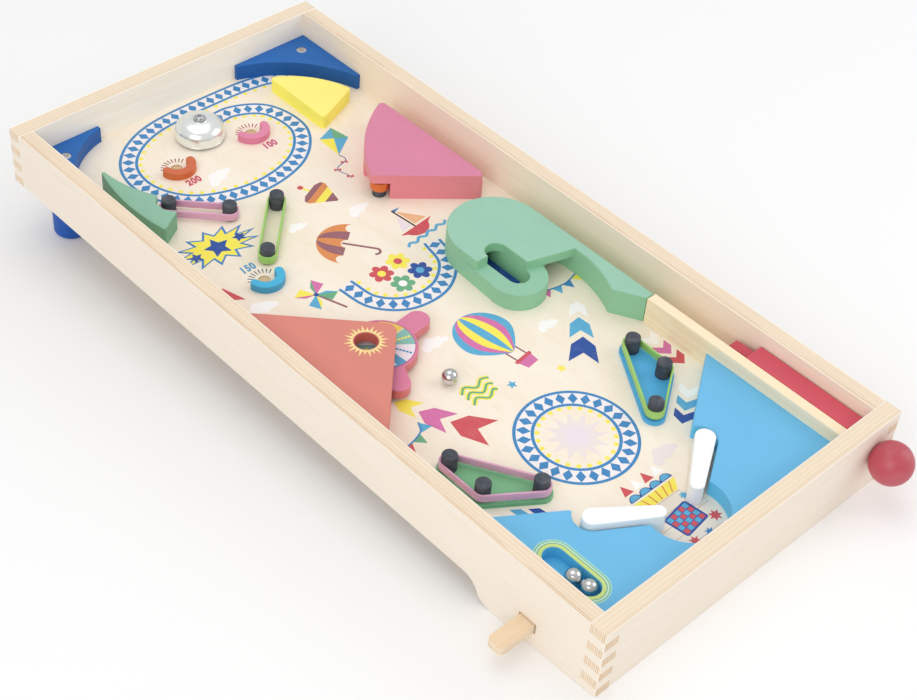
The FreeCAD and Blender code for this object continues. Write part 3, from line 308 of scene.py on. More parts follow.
def printed_ink():
    """Printing ink: the colour comes from the piece's own ink attribute, a little uneven in its cover."""
    finish = Finish("screen_print_ink", WHITE, 0.36, Specular_IOR_Level=0.4)
    ink = finish.node("ShaderNodeAttribute", {"attribute_name": "ink"}, output="Color")
    cover = finish.noise((3, 10, 3), 4.0, 0.6)
    return finish.apply(finish.mix(cover.step(0.5, 0.85) * 0.1, ink, CREAM), 0.32 + cover * 0.1)


def wear(material, *names):
    """Give CAD pieces a material."""
    for name in names:
        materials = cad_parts[name].data.materials
        materials.clear()
        materials.append(material)


wear(plywood("birch_ply_left", X, SIDE_WALL, Y, (0, LENGTH), lines=1.3), "left_wall")
wear(plywood("birch_ply_right", X, SIDE_WALL, Y, (0, LENGTH), WIDTH - SIDE_WALL, lines=1.1,
             face=("faeddb", "f4e2ca")), "right_wall")
wear(plywood("birch_ply_front", Y, END_WALL, X, (0, WIDTH), lines=0.45), "front_wall")
wear(plywood("birch_ply_rear", Y, END_WALL, X, (0, WIDTH), LENGTH - END_WALL, lines=0.45,
             face=("fffaf0", "f8ecd9")), "rear_wall")
wear(plywood("birch_ply_bars", Z, 6.7, X, (-60, 340), -13.9, 5, face=("f0d8b8", "e6c79c")),
     "left_push_bar", "right_push_bar", "bar_guides")
wear(printed_board(), "playfield_board")
wear(lane_wood(), "lane_divider")
for name, top, side, level, sheen, *names in (
        ("deep_blue_satin", "1264b3", "1159a6", 13, 0.5, "rear_left_block", "rear_right_block"),
        ("foot_blue_satin", "0c52ac", "0c52ac", 0, 0.5, "left_foot", "right_foot"),
        ("yellow_satin", "fdf07f", "fff566", 12, 0.42, "yellow_deflector"),
        ("pink_top_satin", "d783a0", "e78a95", 22, 0.42, "pink_deflector_top"),
        ("rose_side_satin", "e78a95", "e78a95", 0, 0.42, "pink_deflector_base"),
        ("green_roof_satin", "97c6af", "8fc7a0", 22, 0.42, "tunnel_roof"),
        ("green_base_satin", "8fc2a5", "8fc7a0", 14, 0.42, "tunnel_base"),
        ("green_guide_satin", "8bbca2", "6fa886", 15.5, 0.42, "crescent_guide"),
        ("green_plate_satin", "7bba89", "6fb27f", 3, 0.42, "left_bumper_plate"),
        ("blue_plate_satin", "4faee3", "49abdd", 3, 0.42, "right_bumper_plate"),
        ("sky_blue_satin", "6abae6", "62c4ee", 12, 0.42, "flipper_apron"),
        ("salmon_satin", "d78476", "cc6a60", 22, 0.42, "roof_panel", "roof_base"),
        ("spinner_pink_satin", "d97e9f", "da7a80", 10, 0.42, "spinner_wheel"),
        ("blue_hook_satin", "3fb0d9", "3c9dc8", 6, 0.42, "blue_pocket_hook"),
        ("orange_hook_satin", "cf6843", "d26a34", 6, 0.42, "orange_pocket_hook"),
        ("pink_hook_satin", "de85a6", "db7f9c", 6, 0.42, "pink_pocket_hook"),
        ("red_satin", "cf5061", "c94b5b", 22, 0.42, "plunger_housing", "plunger_striker")):
    wear(painted(name, top, side, level, sheen), *names)
wear(gloss("red_lacquer", "b94654", 0.4, 0.08), "plunger_knob")
wear(gloss("white_moulded", "fbfbfa", 0.16, 0.5), "left_flipper", "right_flipper")
wear(gloss("grey_moulded", "c9c9c4", 0.4, 0.0), "left_crank", "right_crank", "bell_post")
wear(metal("screw_steel", "b9bbbd", 0.3), "wood_screws", "spinner_axle", "left_flipper_shaft",
     "right_flipper_shaft", "plunger_rod", "left_drive_pin", "right_drive_pin")

PEG_RUBBER = rubber("charcoal_peg_rubber", "40454f")
MAUVE_BAND = rubber("mauve_silicone", "dcaac6", 0.15, 0.36, Subsurface_Weight=0.35, Subsurface_Scale=0.002)
LIME_BAND = rubber("lime_silicone", "a0cf6e", 0.15, 0.36, Subsurface_Weight=0.35, Subsurface_Scale=0.002)
ORANGE_RING = rubber("orange_silicone", "db6b24", 0.15, 0.4)
BELL_PLATE = metal("bright_zinc_plate", "f2f6f4", 0.22, BELL, 1.4, 0.05, 0.75)
NUT_STEEL = metal("turned_nut_steel", "c7cacd", 0.26, BELL, 2.0)
CROSS_STEEL = metal("cross_head_steel", "d9d7d4", 0.3)
SPRING_STEEL = metal("spring_wire_steel", "a9abae", 0.28)
BALL_STEEL = metal("polished_ball_steel", "d3d3d3", 0.05, smears=0.04)
INK = printed_ink()


# ---------------- surfaces
def quads(rows, columns, close_rows=False, close_columns=False):
    """Faces of a grid of points listed row by row: each joins a point to its next in both directions."""
    down = np.arange(rows if close_rows else rows - 1)[:, None]
    over = np.arange(columns if close_columns else columns - 1)[None, :]
    next_down, next_over = (down + 1) % rows, (over + 1) % columns
    corners = [down * columns + over, next_down * columns + over,
               next_down * columns + next_over, down * columns + next_over]
    return np.stack([corner.ravel() for corner in np.broadcast_arrays(*corners)], 1)


def join(parts):
    """Several (points, faces) as one, the later faces counted on past the earlier points."""
    counts = np.cumsum([0] + [len(points) for points, faces in parts[:-1]])
    return (np.concatenate([points for points, faces in parts]),
            np.concatenate([faces + count for (points, faces), count in zip(parts, counts)]))


def make_piece(name, surface, material, replaced=None, crease=35.0, body="cabinet", inks=None):
    """A mesh piece from a surface of (points, faces) in cabinet millimetres, riding on a body.

    Every face is turned outwards. A printed piece carries the ink of each point; any other is
    welded at its poles and seams, and is smooth up to the crease's angle."""
    points, faces = surface
    mesh = bpy.data.meshes.new(name)
    mesh.from_pydata(row_frame(points).tolist(), [], [list(map(int, face)) for face in faces])
    if inks is not None:
        colours = mesh.attributes.new("ink", "FLOAT_COLOR", "POINT")
        colours.data.foreach_set("color", inks.astype(np.float32).ravel())
    shell = bmesh.new()
    shell.from_mesh(mesh)
    if inks is None:
        bmesh.ops.remove_doubles(shell, verts=shell.verts, dist=2e-7)
    bmesh.ops.recalc_face_normals(shell, faces=shell.faces)
    shell.to_mesh(mesh)
    shell.free()
    if inks is None:
        mesh.polygons.foreach_set("use_smooth", [True] * len(mesh.polygons))
        mesh.set_sharp_from_angle(angle=math.radians(crease))
    mesh.materials.append(material)
    piece = bpy.data.objects.new(name, mesh)
    bpy.context.scene.collection.objects.link(piece)
    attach(piece, body)
    if replaced:
        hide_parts(replaced)
    return piece


def ways(angle):
    """Unit directions (cos a, sin a)."""
    return np.stack([np.cos(angle), np.sin(angle)], -1)


def arc(centre_x, centre_y, radius, start, end, count):
    """Points on an arc, from the angle start to the angle end in degrees."""
    return (centre_x, centre_y) + radius * ways(np.radians(np.linspace(start, end, count)))


def disc(x, y, radius, count=32):
    """Points all the way round a circle."""
    return arc(x, y, radius, 0, 360 - 360 / count, count)


def turned(profile, x, y, segments=96, ripple=None):
    """A profile of (radius, height) carried round an upright axis: (x + r cos a, y + r sin a, z).

    ripple(a, profile) may add to each radius, as for ribs."""
    profile = np.asarray(profile, float)
    angle = np.linspace(0, 2 * math.pi, segments, endpoint=False)[:, None]
    radius = profile[:, 0] + (ripple(angle, profile) if ripple else 0 * angle)
    height = np.broadcast_to(profile[:, 1], radius.shape)
    points = np.stack([x + radius * np.cos(angle), y + radius * np.sin(angle), height], -1)
    return points.reshape(-1, 3), quads(*radius.shape, close_rows=True)


def tube(path, side, other, radius, sides=10):
    """A round wire along a path: path + radius (cos b side + sin b other), with flat closed ends."""
    turn = np.linspace(0, 2 * math.pi, sides, endpoint=False)[None, :, None]
    rings = path[:, None] + radius * (np.cos(turn) * side[:, None] + np.sin(turn) * other[:, None])
    caps = [np.broadcast_to(path[end, None, None], (1, sides, 3)) for end in (0, -1)]
    closed = np.concatenate([caps[0], rings, caps[1]])
    return closed.reshape(-1, 3), quads(len(closed), sides, close_columns=True)


def coil(start, end, turns, radius=4.1, wire=0.45):
    """A compression spring between two points on one level: a helix whose end turns lie flat.

    The pitch falls to a trace of itself over the first and last twentieth of the turns."""
    start, end = np.asarray(start, float), np.asarray(end, float)
    length = np.linalg.norm(end - start)
    way, rise = (end - start) / length, np.array([0, 0, 1.0])
    flat, creep, steps = 0.05, 0.03, 28
    share = np.linspace(0, 1, turns * steps + 1)[:, None]
    climb = np.clip((share - flat) / (1 - 2 * flat), 0, 1) * (1 - creep) + share * creep
    angle = 2 * math.pi * turns * share
    outward = np.cos(angle) * np.cross(way, rise) + np.sin(angle) * rise
    path = start + way * (wire + (length - 2 * wire) * climb) + radius * outward
    return tube(path, outward, np.broadcast_to(way, path.shape), wire)


def belt(wheels, radius, corner_points=24):
    """The line round wheels listed counterclockwise, and its outward direction: arcs joined by runs."""
    places = np.asarray(wheels, float)
    way = np.roll(places, -1, 0) - places
    heading = np.arctan2(way[:, 1], way[:, 0]) - math.pi / 2
    sweep = (heading - np.roll(heading, 1)) % (2 * math.pi)
    share = np.linspace(0, 1, corner_points)
    outward = ways(np.roll(heading, 1)[:, None] + sweep[:, None] * share)
    return (places[:, None] + radius * outward).reshape(-1, 2), outward.reshape(-1, 2)


def rounded_section(width, height, radius, corner_points=5):
    """Corners of a rectangle with round corners, counterclockwise round its middle."""
    x, y = width / 2 - radius, height / 2 - radius
    corners = ((x, y), (-x, y), (-x, -y), (x, -y))
    return np.concatenate([arc(*corner, radius, 90 * number, 90 * number + 90, corner_points)
                           for number, corner in enumerate(corners)])


# ---------------- pegs, bands and the ring bumper
PEG_RADIUS, BAND_THICK, BAND_HEIGHT = 5.3, 1.5, 6.0
RING_SECTION, RING_MIDDLE = (1.65, 7.0, 0.6), (6.175, 9.5)


def ribbed_peg(x, y, base, height):
    """A moulded peg: a straight side with 40 upright ribs, a softened top and a shallow dish in it."""
    top = base + height
    profile = np.concatenate([
        [(0.0, base), (PEG_RADIUS - 0.4, base)],
        np.linspace((PEG_RADIUS, base), (PEG_RADIUS, top - 1.3), 6),
        arc(PEG_RADIUS - 1.1, top - 1.1, 1.1, 0, 90, 7),
        [(PEG_RADIUS - 2.0, top - 0.05), (PEG_RADIUS - 2.6, top - 0.35), (0.0, top - 0.45)]])

    def ribs(angle, profile):
        """Grooves between the ribs, which run out below the soft top."""
        on_side = np.clip((top - 1.2 - profile[:, 1]) * 2, 0, 1) * (profile[:, 0] > 4.95)
        return -0.16 * on_side * (0.5 + 0.5 * np.cos(40 * angle))

    return turned(profile, x, y, 200, ribs)


def band(wheels, base):
    """A flat elastic band: a rounded rectangle carried round its pegs."""
    middle, outward = belt(wheels, PEG_RADIUS + 0.05 + BAND_THICK / 2)
    section = rounded_section(BAND_THICK, BAND_HEIGHT, 0.5)
    flat = middle[:, None] + section[:, :1] * outward[:, None]
    height = np.broadcast_to(section[:, 1:] + base + BAND_HEIGHT / 2, (*flat.shape[:2], 1))
    return np.concatenate([flat, height], 2).reshape(-1, 3), quads(*flat.shape[:2], True, True)


for name, places, base, height, node in (
        ("left_ribbed_pegs", LEFT_PEGS, PLATE_TOP, 13, "left_bumper_pegs"),
        ("right_ribbed_pegs", RIGHT_PEGS, PLATE_TOP, 13, "right_bumper_pegs"),
        ("field_ribbed_pegs", UPPER_PEGS + MIDDLE_PEGS, PLAYFIELD, 13, "field_pegs"),
        ("ring_ribbed_peg", [RING_POST], PLAYFIELD, 13.8, "ring_bumper_peg")):
    pegs = join([ribbed_peg(*place, base, height) for place in places])
    make_piece(name, pegs, PEG_RUBBER, node, crease=60)
for name, places, base, material, material_slot, node in (
        ("left_elastic_band", LEFT_PEGS, 4.5, MAUVE_BAND, "mauve_rubber", "left_bumper_band"),
        ("right_elastic_band", RIGHT_PEGS, 4.5, LIME_BAND, "lime_rubber", "right_bumper_band"),
        ("upper_elastic_band", UPPER_PEGS, 1.5, MAUVE_BAND, "mauve_rubber", "upper_band"),
        ("middle_elastic_band", MIDDLE_PEGS, 1.5, LIME_BAND, "lime_rubber", "middle_band")):
    make_piece(name, band(places, base), material, node)
ring_profile = rounded_section(*RING_SECTION) + RING_MIDDLE
make_piece("ring_elastic", turned(np.concatenate([ring_profile, ring_profile[:1]]), *RING_POST),
           ORANGE_RING, "ring_bumper_ring")


# ---------------- bell
def bell_profile():
    """The dome from the skirt's rolled lip up over the shoulder to a raised ring and the screw hole."""
    radius, base, shoulder, top, wall = 18.9, 1.5, 6.8, 17.0, 0.9
    lip = arc(radius - 0.35, base + 0.45, 0.35, -90, 60, 7)
    skirt = np.linspace((radius - 0.15, base + 1.2), (radius - 0.25, shoulder), 5)
    sweep = np.radians(np.linspace(4, 88, 40))
    crown = np.stack([(radius - 0.25) * np.cos(sweep) ** 0.82,
                      shoulder + (top - 7.0) * np.sin(sweep) ** 0.86], 1)
    crown = crown[crown[:, 0] > 6.2]
    collar = np.array([(6.0, 0.05), (5.8, 0.3), (5.2, 0.32), (5.0, 0.05), (2.05, 0.12)]) + (0, crown[-1, 1])
    outside = np.concatenate([lip, skirt, crown, collar])
    inside = outside[len(lip):] * (0.95, 1) - (0, wall)
    return np.concatenate([outside, inside[::-1], outside[:1]])


def bell_nut():
    """A washer and a domed screw head with a hexagon socket, on the screw through the bell."""
    shank = [(0.0, -3.9), (2.0, -3.9)]
    washer = [(2.0, 17.0), (4.4, 17.0), (4.6, 17.15), (4.6, 17.5), (4.4, 17.65), (3.4, 17.65), (3.2, 17.7)]
    socket = [(1.6, 19.15), (1.45, 18.1), (0.0, 17.95)]
    profile = np.concatenate([shank, washer, arc(1.9, 17.9, 1.3, 0, 80, 8), socket])

    def hexagon(angle, profile):
        """Six flats on the socket's wall."""
        near = (np.abs(profile[:, 0] - 1.52) < 0.1) * (profile[:, 1] > 18.0)
        return near * (0.12 * np.cos(6 * angle))

    return turned(profile, *BELL, 96, hexagon)


make_piece("bell_shell", turned(bell_profile(), *BELL, 160), BELL_PLATE, "bell_dome", 30)
make_piece("bell_nut_and_screw", bell_nut(), NUT_STEEL, "bell_screw", 30)

# ---------------- balls and springs
BALL_RADIUS, BALL_GAP, TRAY_FLOOR = 5.75, 0.2, 3.0
for number, (x, y, floor, node, body) in enumerate((
        (34.4, 43.0, TRAY_FLOOR, "ball_one", "tray_ball_front"),
        (33.0, 54.8, TRAY_FLOOR, "ball_two", "tray_ball_rear"),
        (94.2, 227.6, PLAYFIELD, "ball_three", "field_ball")), 1):
    half_circle = arc(0, floor + BALL_GAP + BALL_RADIUS, BALL_RADIUS, -90, 90, 48)
    make_piece(f"steel_ball_{number}", turned(half_circle, x, y), BALL_STEEL, node, body=body)

LANE_X, LANE_LEVEL = 257.5, 10.7
plunger_coil = coil((LANE_X, 13.7, LANE_LEVEL), (LANE_X, 86.9, LANE_LEVEL), 24)
spring = make_piece("plunger_coil", plunger_coil, SPRING_STEEL, "plunger_spring")
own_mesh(spring)
BAR_Y, BAR_LEVEL = 57.9, -10.55
for side, sign, near in (("left", 1, 119.0), ("right", -1, 131.0)):
    far = near - sign * 42.0
    side_coil = coil((far + sign * 0.1, BAR_Y, BAR_LEVEL), (near - sign * 0.1, BAR_Y, BAR_LEVEL), 13)
    spring = make_piece(f"{side}_coil", side_coil, SPRING_STEEL, f"{side}_return_spring")
    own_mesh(spring)


# ---------------- screws in the corner blocks
def screw_head(x, y, top):
    """A countersunk head with a cross recess: its height falls by the recess where |x| or |y| is small."""
    reach, foot, corners = 3.9, top - 0.6, 144
    radius = np.linspace(0, reach, 27)[None, :]
    angle = np.linspace(0, 2 * math.pi, corners, endpoint=False)[:, None] + 0.5
    east, north = radius * np.cos(angle), radius * np.sin(angle)
    narrow = np.minimum(np.abs(east), np.abs(north))
    recess = np.clip((0.8 - narrow) / 0.2, 0, 1) * np.clip((2.7 - radius) / 0.4, 0, 1)
    face = np.stack([x + east, y + north, top + 0.25 * (1 - (radius / reach) ** 2) - 1.4 * recess], -1)
    skirt = face[:, -1:] * (1, 1, 0) + (0, 0, foot)
    under = np.broadcast_to((x, y, foot), (corners, 1, 3))
    grid = np.concatenate([face, skirt, under], 1)
    return grid.reshape(-1, 3), quads(*grid.shape[:2], close_rows=True)


heads = join([screw_head(x, 570.5, BLOCK_TOP) for x in (27.5, 251.5)])
make_piece("cross_screw_heads", heads, CROSS_STEEL, crease=25)


# ---------------- print
INK_LAYER, INK_ROOT = 0.03, 0.05


class Print:
    """Flat printed shapes gathered into one thin piece: each is a prism of ink over a printed face."""

    def __init__(self, face):
        self.face = face
        self.points, self.faces, self.inks, self.count = [], [], [], 0

    def add(self, points, faces, ink):
        self.points.append(points)
        self.faces += [[self.count + index for index in face] for face in faces]
        self.inks.append(np.broadcast_to(ink, (len(points), 4)))
        self.count += len(points)

    def levels(self, flat, layer):
        """The same flat points at the ink's top and again just under the face."""
        return np.concatenate([np.column_stack([flat, np.full(len(flat), self.face + height)])
                               for height in (INK_LAYER * layer, -INK_ROOT)])

    def shape(self, outline, ink, layer=1):
        """A filled outline."""
        count = len(outline)
        faces = [list(range(count)), list(range(2 * count - 1, count - 1, -1))]
        faces += [[place, (place + 1) % count, (place + 1) % count + count, place + count]
                  for place in range(count)]
        self.add(self.levels(np.asarray(outline, float), layer), faces, ink)

    def motif(self, outline, place, ink, layer=2):
        """An outline of about unit size at a place: x, y, size and turn."""
        self.shape(placed(outline, *place), ink, layer)

    def stripe(self, left, right, ink, layer=1, closed=False):
        """A band between two lines with as many points each."""
        count = len(left)
        grid = np.arange(count)[:, None] + (0, count, 3 * count, 2 * count)
        faces = grid.ravel()[quads(count, 4, closed, True)].tolist()
        if not closed:
            faces += [grid[0].tolist(), grid[-1][::-1].tolist()]
        self.add(self.levels(np.concatenate([left, right]), layer), faces, ink)

    def line(self, path, from_side, to_side, ink, layer=1, closed=False):
        """A stripe along a path, between two distances to its left."""
        left = beside(path, closed)
        self.stripe(path + from_side * left, path + to_side * left, ink, layer, closed)

    def build(self, name, body):
        make_piece(name, (np.concatenate(self.points), self.faces), INK, body=body,
                   inks=np.concatenate(self.inks))


def beside(path, closed=False):
    """The unit direction to the left of a path at each of its points."""
    way = np.roll(path, -1, 0) - np.roll(path, 1, 0) if closed else np.gradient(path, axis=0)
    way /= np.linalg.norm(way, axis=1, keepdims=True)
    return np.stack([-way[:, 1], way[:, 0]], 1)


def placed(outline, x, y, size=1.0, turn=0.0):
    """An outline scaled, turned by degrees and moved to a place."""
    cosine, sine = ways(math.radians(turn))
    return np.asarray(outline, float) * size @ [[cosine, sine], [-sine, cosine]] + (x, y)


def box(left, low, right, high):
    """A rectangle's corners."""
    return [(left, low), (right, low), (right, high), (left, high)]


def star(points, inner, turn=90):
    """A star of unit reach whose hollows lie at the inner share of it."""
    number = np.arange(2 * points)
    return np.where(number % 2 == 0, 1.0, inner)[:, None] * ways(np.radians(turn + number * 180 / points))


def even(path, pitch, closed=False):
    """Points and left directions at even distances along a path."""
    left = beside(path, closed)
    if closed:
        path, left = np.concatenate([path, path[:1]]), np.concatenate([left, left[:1]])
    run = np.concatenate([[0], np.cumsum(np.linalg.norm(np.diff(path, axis=0), axis=1))])
    count = int(round(run[-1] / pitch))
    places = (np.arange(count) + 0.5) * run[-1] / count
    at, side = [np.stack([np.interp(places, run, line[:, axis]) for axis in (0, 1)], 1)
                for line in (path, left)]
    return at, side / np.linalg.norm(side, axis=1, keepdims=True)


def flowing(stations, count=14):
    """A smooth path through stations: a Catmull-Rom cubic from each to the next."""
    stations = np.asarray(stations, float)
    ends = np.concatenate([2 * stations[:1] - stations[1:2], stations, 2 * stations[-1:] - stations[-2:-1]])
    before, start, end, after = ends[:-3, None], ends[1:-2, None], ends[2:-1, None], ends[3:, None]
    share = np.linspace(0, 1, count, endpoint=False)[:, None]
    cubic = (2 * start + (end - before) * share + (2 * before - 5 * start + 4 * end - after) * share ** 2
             + (3 * start - before - 3 * end + after) * share ** 3) / 2
    return np.concatenate([cubic.reshape(-1, 2), stations[-1:]])


def blob(discs, count=110):
    """The outline round discs (x, y, radius): the farthest any of them reaches in each direction."""
    way = ways(np.linspace(0, 2 * math.pi, count, endpoint=False))[:, None]
    x, y, radius = np.asarray(discs, float).T
    along = way[..., 0] * x + way[..., 1] * y
    inside = radius ** 2 - (x ** 2 + y ** 2 - along ** 2)
    reach = np.where(inside > 0, along + np.sqrt(np.maximum(inside, 0)), 0).max(1)
    return way[:, 0] * reach[:, None]


def garland(art, path, closed=False):
    """A printed ribbon: two blue edges, a row of diamonds between them and yellow beads on its left."""
    art.line(path, -5.6, 5.6, paint("f4edee"), 1, closed)
    art.line(path, 4.9, 7.1, RAIL_BLUE, 3, closed)
    art.line(path, -7.1, -4.9, RAIL_BLUE, 3, closed)
    for at, (left_x, left_y) in zip(*even(path, 8.6, closed)):
        turn = math.degrees(math.atan2(left_y, left_x))
        art.motif([(5.0, 0), (0, 3.4), (-5.0, 0), (0, -3.4)], (*at, 1, turn), RAIL_BLUE)
    places, side = even(path, 9.5, closed)
    for at in places + 9.0 * side:
        art.shape(disc(*at, 1.7, 16), YELLOW, 2)


def pennants(art, path, inks, pitch, size):
    """Bunting: a cord with a row of three-cornered flags on its right."""
    art.line(path, -0.6, 0.6, RAIL_BLUE, 3)
    for number, (at, (left_x, left_y)) in enumerate(zip(*even(path, pitch))):
        turn = math.degrees(math.atan2(left_y, left_x)) - 90
        art.motif([(-1, 0), (0, -1.9), (1, 0)], (*at, size, turn), inks[number % len(inks)])


def air_balloon(art, place, inks):
    """A hot-air balloon: a round envelope drawn in to its mouth, gores, lines and a basket."""
    angle = np.radians(np.linspace(-90, 270, 60, endpoint=False))
    pinch = np.where(np.sin(angle) < 0, 1 - 0.55 * np.sin(angle) ** 2, 1.0)
    for layer, (share, ink) in enumerate(((1.0, 0), (0.72, 1), (0.46, 2), (0.16, 0)), 2):
        envelope = np.stack([share * np.cos(angle) * pinch, np.sin(angle) * 1.08 + 0.45], 1)
        art.motif(envelope, place, inks[ink], layer)
    for east in (-0.26, 0.2):
        art.motif(box(east, -1.05, east + 0.06, -0.5), place, PLUM, 1)
    art.motif([(-0.32, -1.0), (0.32, -1.0), (0.24, -1.42), (-0.24, -1.42)], place, PINK, 3)
    art.motif(box(-0.36, -1.08, 0.36, -0.96), place, RED, 4)


def kite(art, place, inks):
    """A kite of four coloured quarters with a waving tail and bows."""
    corners, middle = [(0, 1.1), (0.75, 0.2), (0, -1.2), (-0.75, 0.2)], (0, 0.2)
    for number, ink in enumerate((0, 1, 2, 1)):
        art.motif([corners[number], middle, corners[(number + 1) % 4]], place, inks[ink], 3)
    drop = np.linspace(0, 1.9, 30)
    tail = placed(np.stack([0.28 * np.sin(drop * 4.2), -1.2 - drop], 1), *place)
    art.line(tail, -0.35, 0.35, DEEP_BLUE, 2)
    bow = [(-2.6, -1.6), (0, -0.2), (2.6, -1.6), (2.6, 1.6), (0, 0.2), (-2.6, 1.6)]
    for point in (9, 18, 27):
        art.motif(bow, (*tail[point], 1, place[3] + 20 * point), RED, 4)


def boat(art, place, inks):
    """A sailing boat: a bowl of a hull, two sails on a mast, a streamer and a wave under it."""
    hull = np.concatenate([[(-1.1, 0.0)], arc(0, 0.15, 0.85, 205, 335, 14), [(1.2, 0.0)]])
    for outline, ink, layer in ((hull, inks[0], 4), (box(-0.04, 0, 0.06, 1.7), INK_BLACK, 2),
                                ([(0.14, 0.15), (1.0, 0.15), (0.14, 1.5)], inks[1], 4),
                                ([(-0.12, 0.15), (-0.8, 0.15), (-0.12, 1.25)], inks[2], 4),
                                ([(0.06, 1.72), (0.06, 1.5), (0.55, 1.61)], RAIL_BLUE, 4)):
        art.motif(outline, place, ink, layer)
    run, half = np.linspace(-1.5, 1.5, 60), 0.08 * place[2]
    art.line(placed(np.stack([run, -0.82 + 0.09 * np.sin(run * 9)], 1), *place), -half, half, SKY, 5)


def pinwheel(art, place, inks):
    """A four-bladed toy windmill on its stick."""
    art.motif(box(-0.07, -1.9, 0.07, 0), place, PLUM, 1)
    blade, fold = [(0, 0), (0.95, 0.1), (0.86, 0.84), (0.3, 0.55)], [(0, 0), (0.3, 0.55), (0.86, 0.84)]
    for number in range(4):
        art.motif(placed(blade, 0, 0, 1, 90 * number), place, inks[number], 3)
        art.motif(placed(fold, 0, 0, 1, 90 * number), place, inks[number - 1], 4)
    art.motif(disc(0, 0, 0.14, 20), place, DEEP_BLUE, 5)


def parasol(art, place, inks):
    """A sunshade: a half-round canopy of gores with a scalloped hem, and its crooked stick."""
    hem = np.concatenate([arc(-0.8 + 0.4 * number, 0, 0.2, 180, 0, 9)[1:] for number in range(5)])
    art.motif(np.concatenate([hem, arc(0, 0, 1, 0, 180, 40)[1:]]), place, inks[0])
    sweep = np.linspace(0, math.pi / 2, 18)
    for side in (-1, 1):
        edges = [placed(np.stack([side * share * np.sin(sweep), np.cos(sweep)], 1), *place)
                 for share in (0.6, 0.2)]
        art.stripe(*edges, inks[1], 3)
    stick = np.concatenate([[(0, 0.15), (0, -0.4)], arc(-0.14, -1.0, 0.14, 0, -180, 12)])
    half = 0.045 * place[2]
    art.line(placed(stick, *place), -half, half, inks[2], 1)


def whirling_top(art, place, inks):
    """A toy top: a banded cone under a round shoulder, with its stem."""
    for low, high, ink in ((-1.05, -0.55, 0), (-0.55, -0.15, 1), (-0.15, 0.2, 2), (0.2, 0.5, 0)):
        rise = np.linspace(low, high, 6)
        half = np.interp(rise, [-1.05, 0.1, 0.35, 0.5], [0.05, 0.9, 0.86, 0.5])
        right, left = np.stack([half, rise], 1), np.stack([-half, rise], 1)
        art.motif(np.concatenate([right, left[::-1]]), place, inks[ink], 3)
    art.motif(box(-0.07, 0.5, 0.07, 0.95), place, inks[1])
    art.motif(disc(0, 1.02, 0.15, 20), place, RED, 3)


def petals(count=6):
    """A flower of unit size whose petals reach 0.62 + 0.36 |sin(count a / 2)| ** 0.8 of it."""
    angle = np.linspace(0, 2 * math.pi, 24 * count, endpoint=False)
    return (0.62 + 0.36 * np.abs(np.sin(count * angle / 2)) ** 0.8)[:, None] * ways(angle)


DART = [(1, 0), (0.47, 0.52), (-0.58, 0.64), (0, 0), (-0.58, -0.64), (0.47, -0.52)]
CHEVRON = [(1, 0), (0.24, 0.8), (-0.66, 0.8), (0, 0), (-0.66, -0.8), (0.24, -0.8)]
CLOUD = blob([(-0.62, -0.06, 0.34), (-0.14, 0.18, 0.46), (0.42, 0.04, 0.38), (0.84, -0.1, 0.22),
              (0.1, -0.12, 0.3)])
RAY = [(8.1, -0.3), (12.5, -0.45), (12.5, 0.45), (8.1, 0.3)]
STAR, BURST = star(5, 0.5), star(13, 0.62) * (1.75, 1)

# ---------------- the playfield's print
board = Print(PLAYFIELD)
garland(board, flowing([(243, 546), (216, 570), (160, 575), (102, 571), (67, 549), (60, 515), (80, 483),
                            (124, 468), (168, 476), (194, 503), (191, 537), (168, 553), (142, 552)]))
garland(board, flowing([(104, 345), (108, 320), (127, 303), (155, 302), (177, 318), (184, 342)]))
garland(board, disc(*MEDALLION, 35, 120), True)
board.motif(star(12, 0.55), (*MEDALLION, 22), PALE_LILAC)
board.motif(star(12, 0.55, 105), (*MEDALLION, 13), LILAC, 3)
pennants(board, flowing([(190, 262), (208, 253), (226, 249), (242, 252)]),
         (RAIL_BLUE, YELLOW, PINK, SKY), 9.5, 4)
pennants(board, flowing([(13, 214), (30, 203), (48, 206), (54, 214)]), (SKY, YELLOW, RED, LEAF), 10.5, 4.4)
for *place, ink in ((110, 495, 12, 24, WHITE), (44, 362, 12, 0, WHITE), (166, 402, 10, 15, WHITE),
                    (112, 262, 11, 0, WHITE), (60, 100, 13, 0, PALE_LILAC), (158, 92, 12, 10, PALE_LILAC),
                    (186, 226, 9, 0, WHITE), (118, 414, 8, 0, WHITE)):
    board.motif(CLOUD, place, ink)
kite(board, (206, 476, 15, -30), (LEAF, SKY, YELLOW))
whirling_top(board, (155, 434, 15, 24), (PLUM, YELLOW, ORANGE))
boat(board, (186, 362, 14, 6), (RED, PEACH, LILAC))
parasol(board, (134, 378, 22, 38), (ORANGE, PLUM, PLUM))
pinwheel(board, (82, 350, 13, 20), (PINK, YELLOW, SKY, LEAF))
air_balloon(board, (147, 236, 22, 8), (SKY, PINK, YELLOW))
for *at, ink, eye in ((132, 338, RED, YELLOW), (150, 341, YELLOW, RED), (137, 321, LEAF, WHITE),
                      (156, 324, DEEP_BLUE, SKY)):
    board.motif(petals(), (*at, 9.2), ink)
    board.motif(disc(0, 0, 0.34, 24), (*at, 9.2), eye, 3)

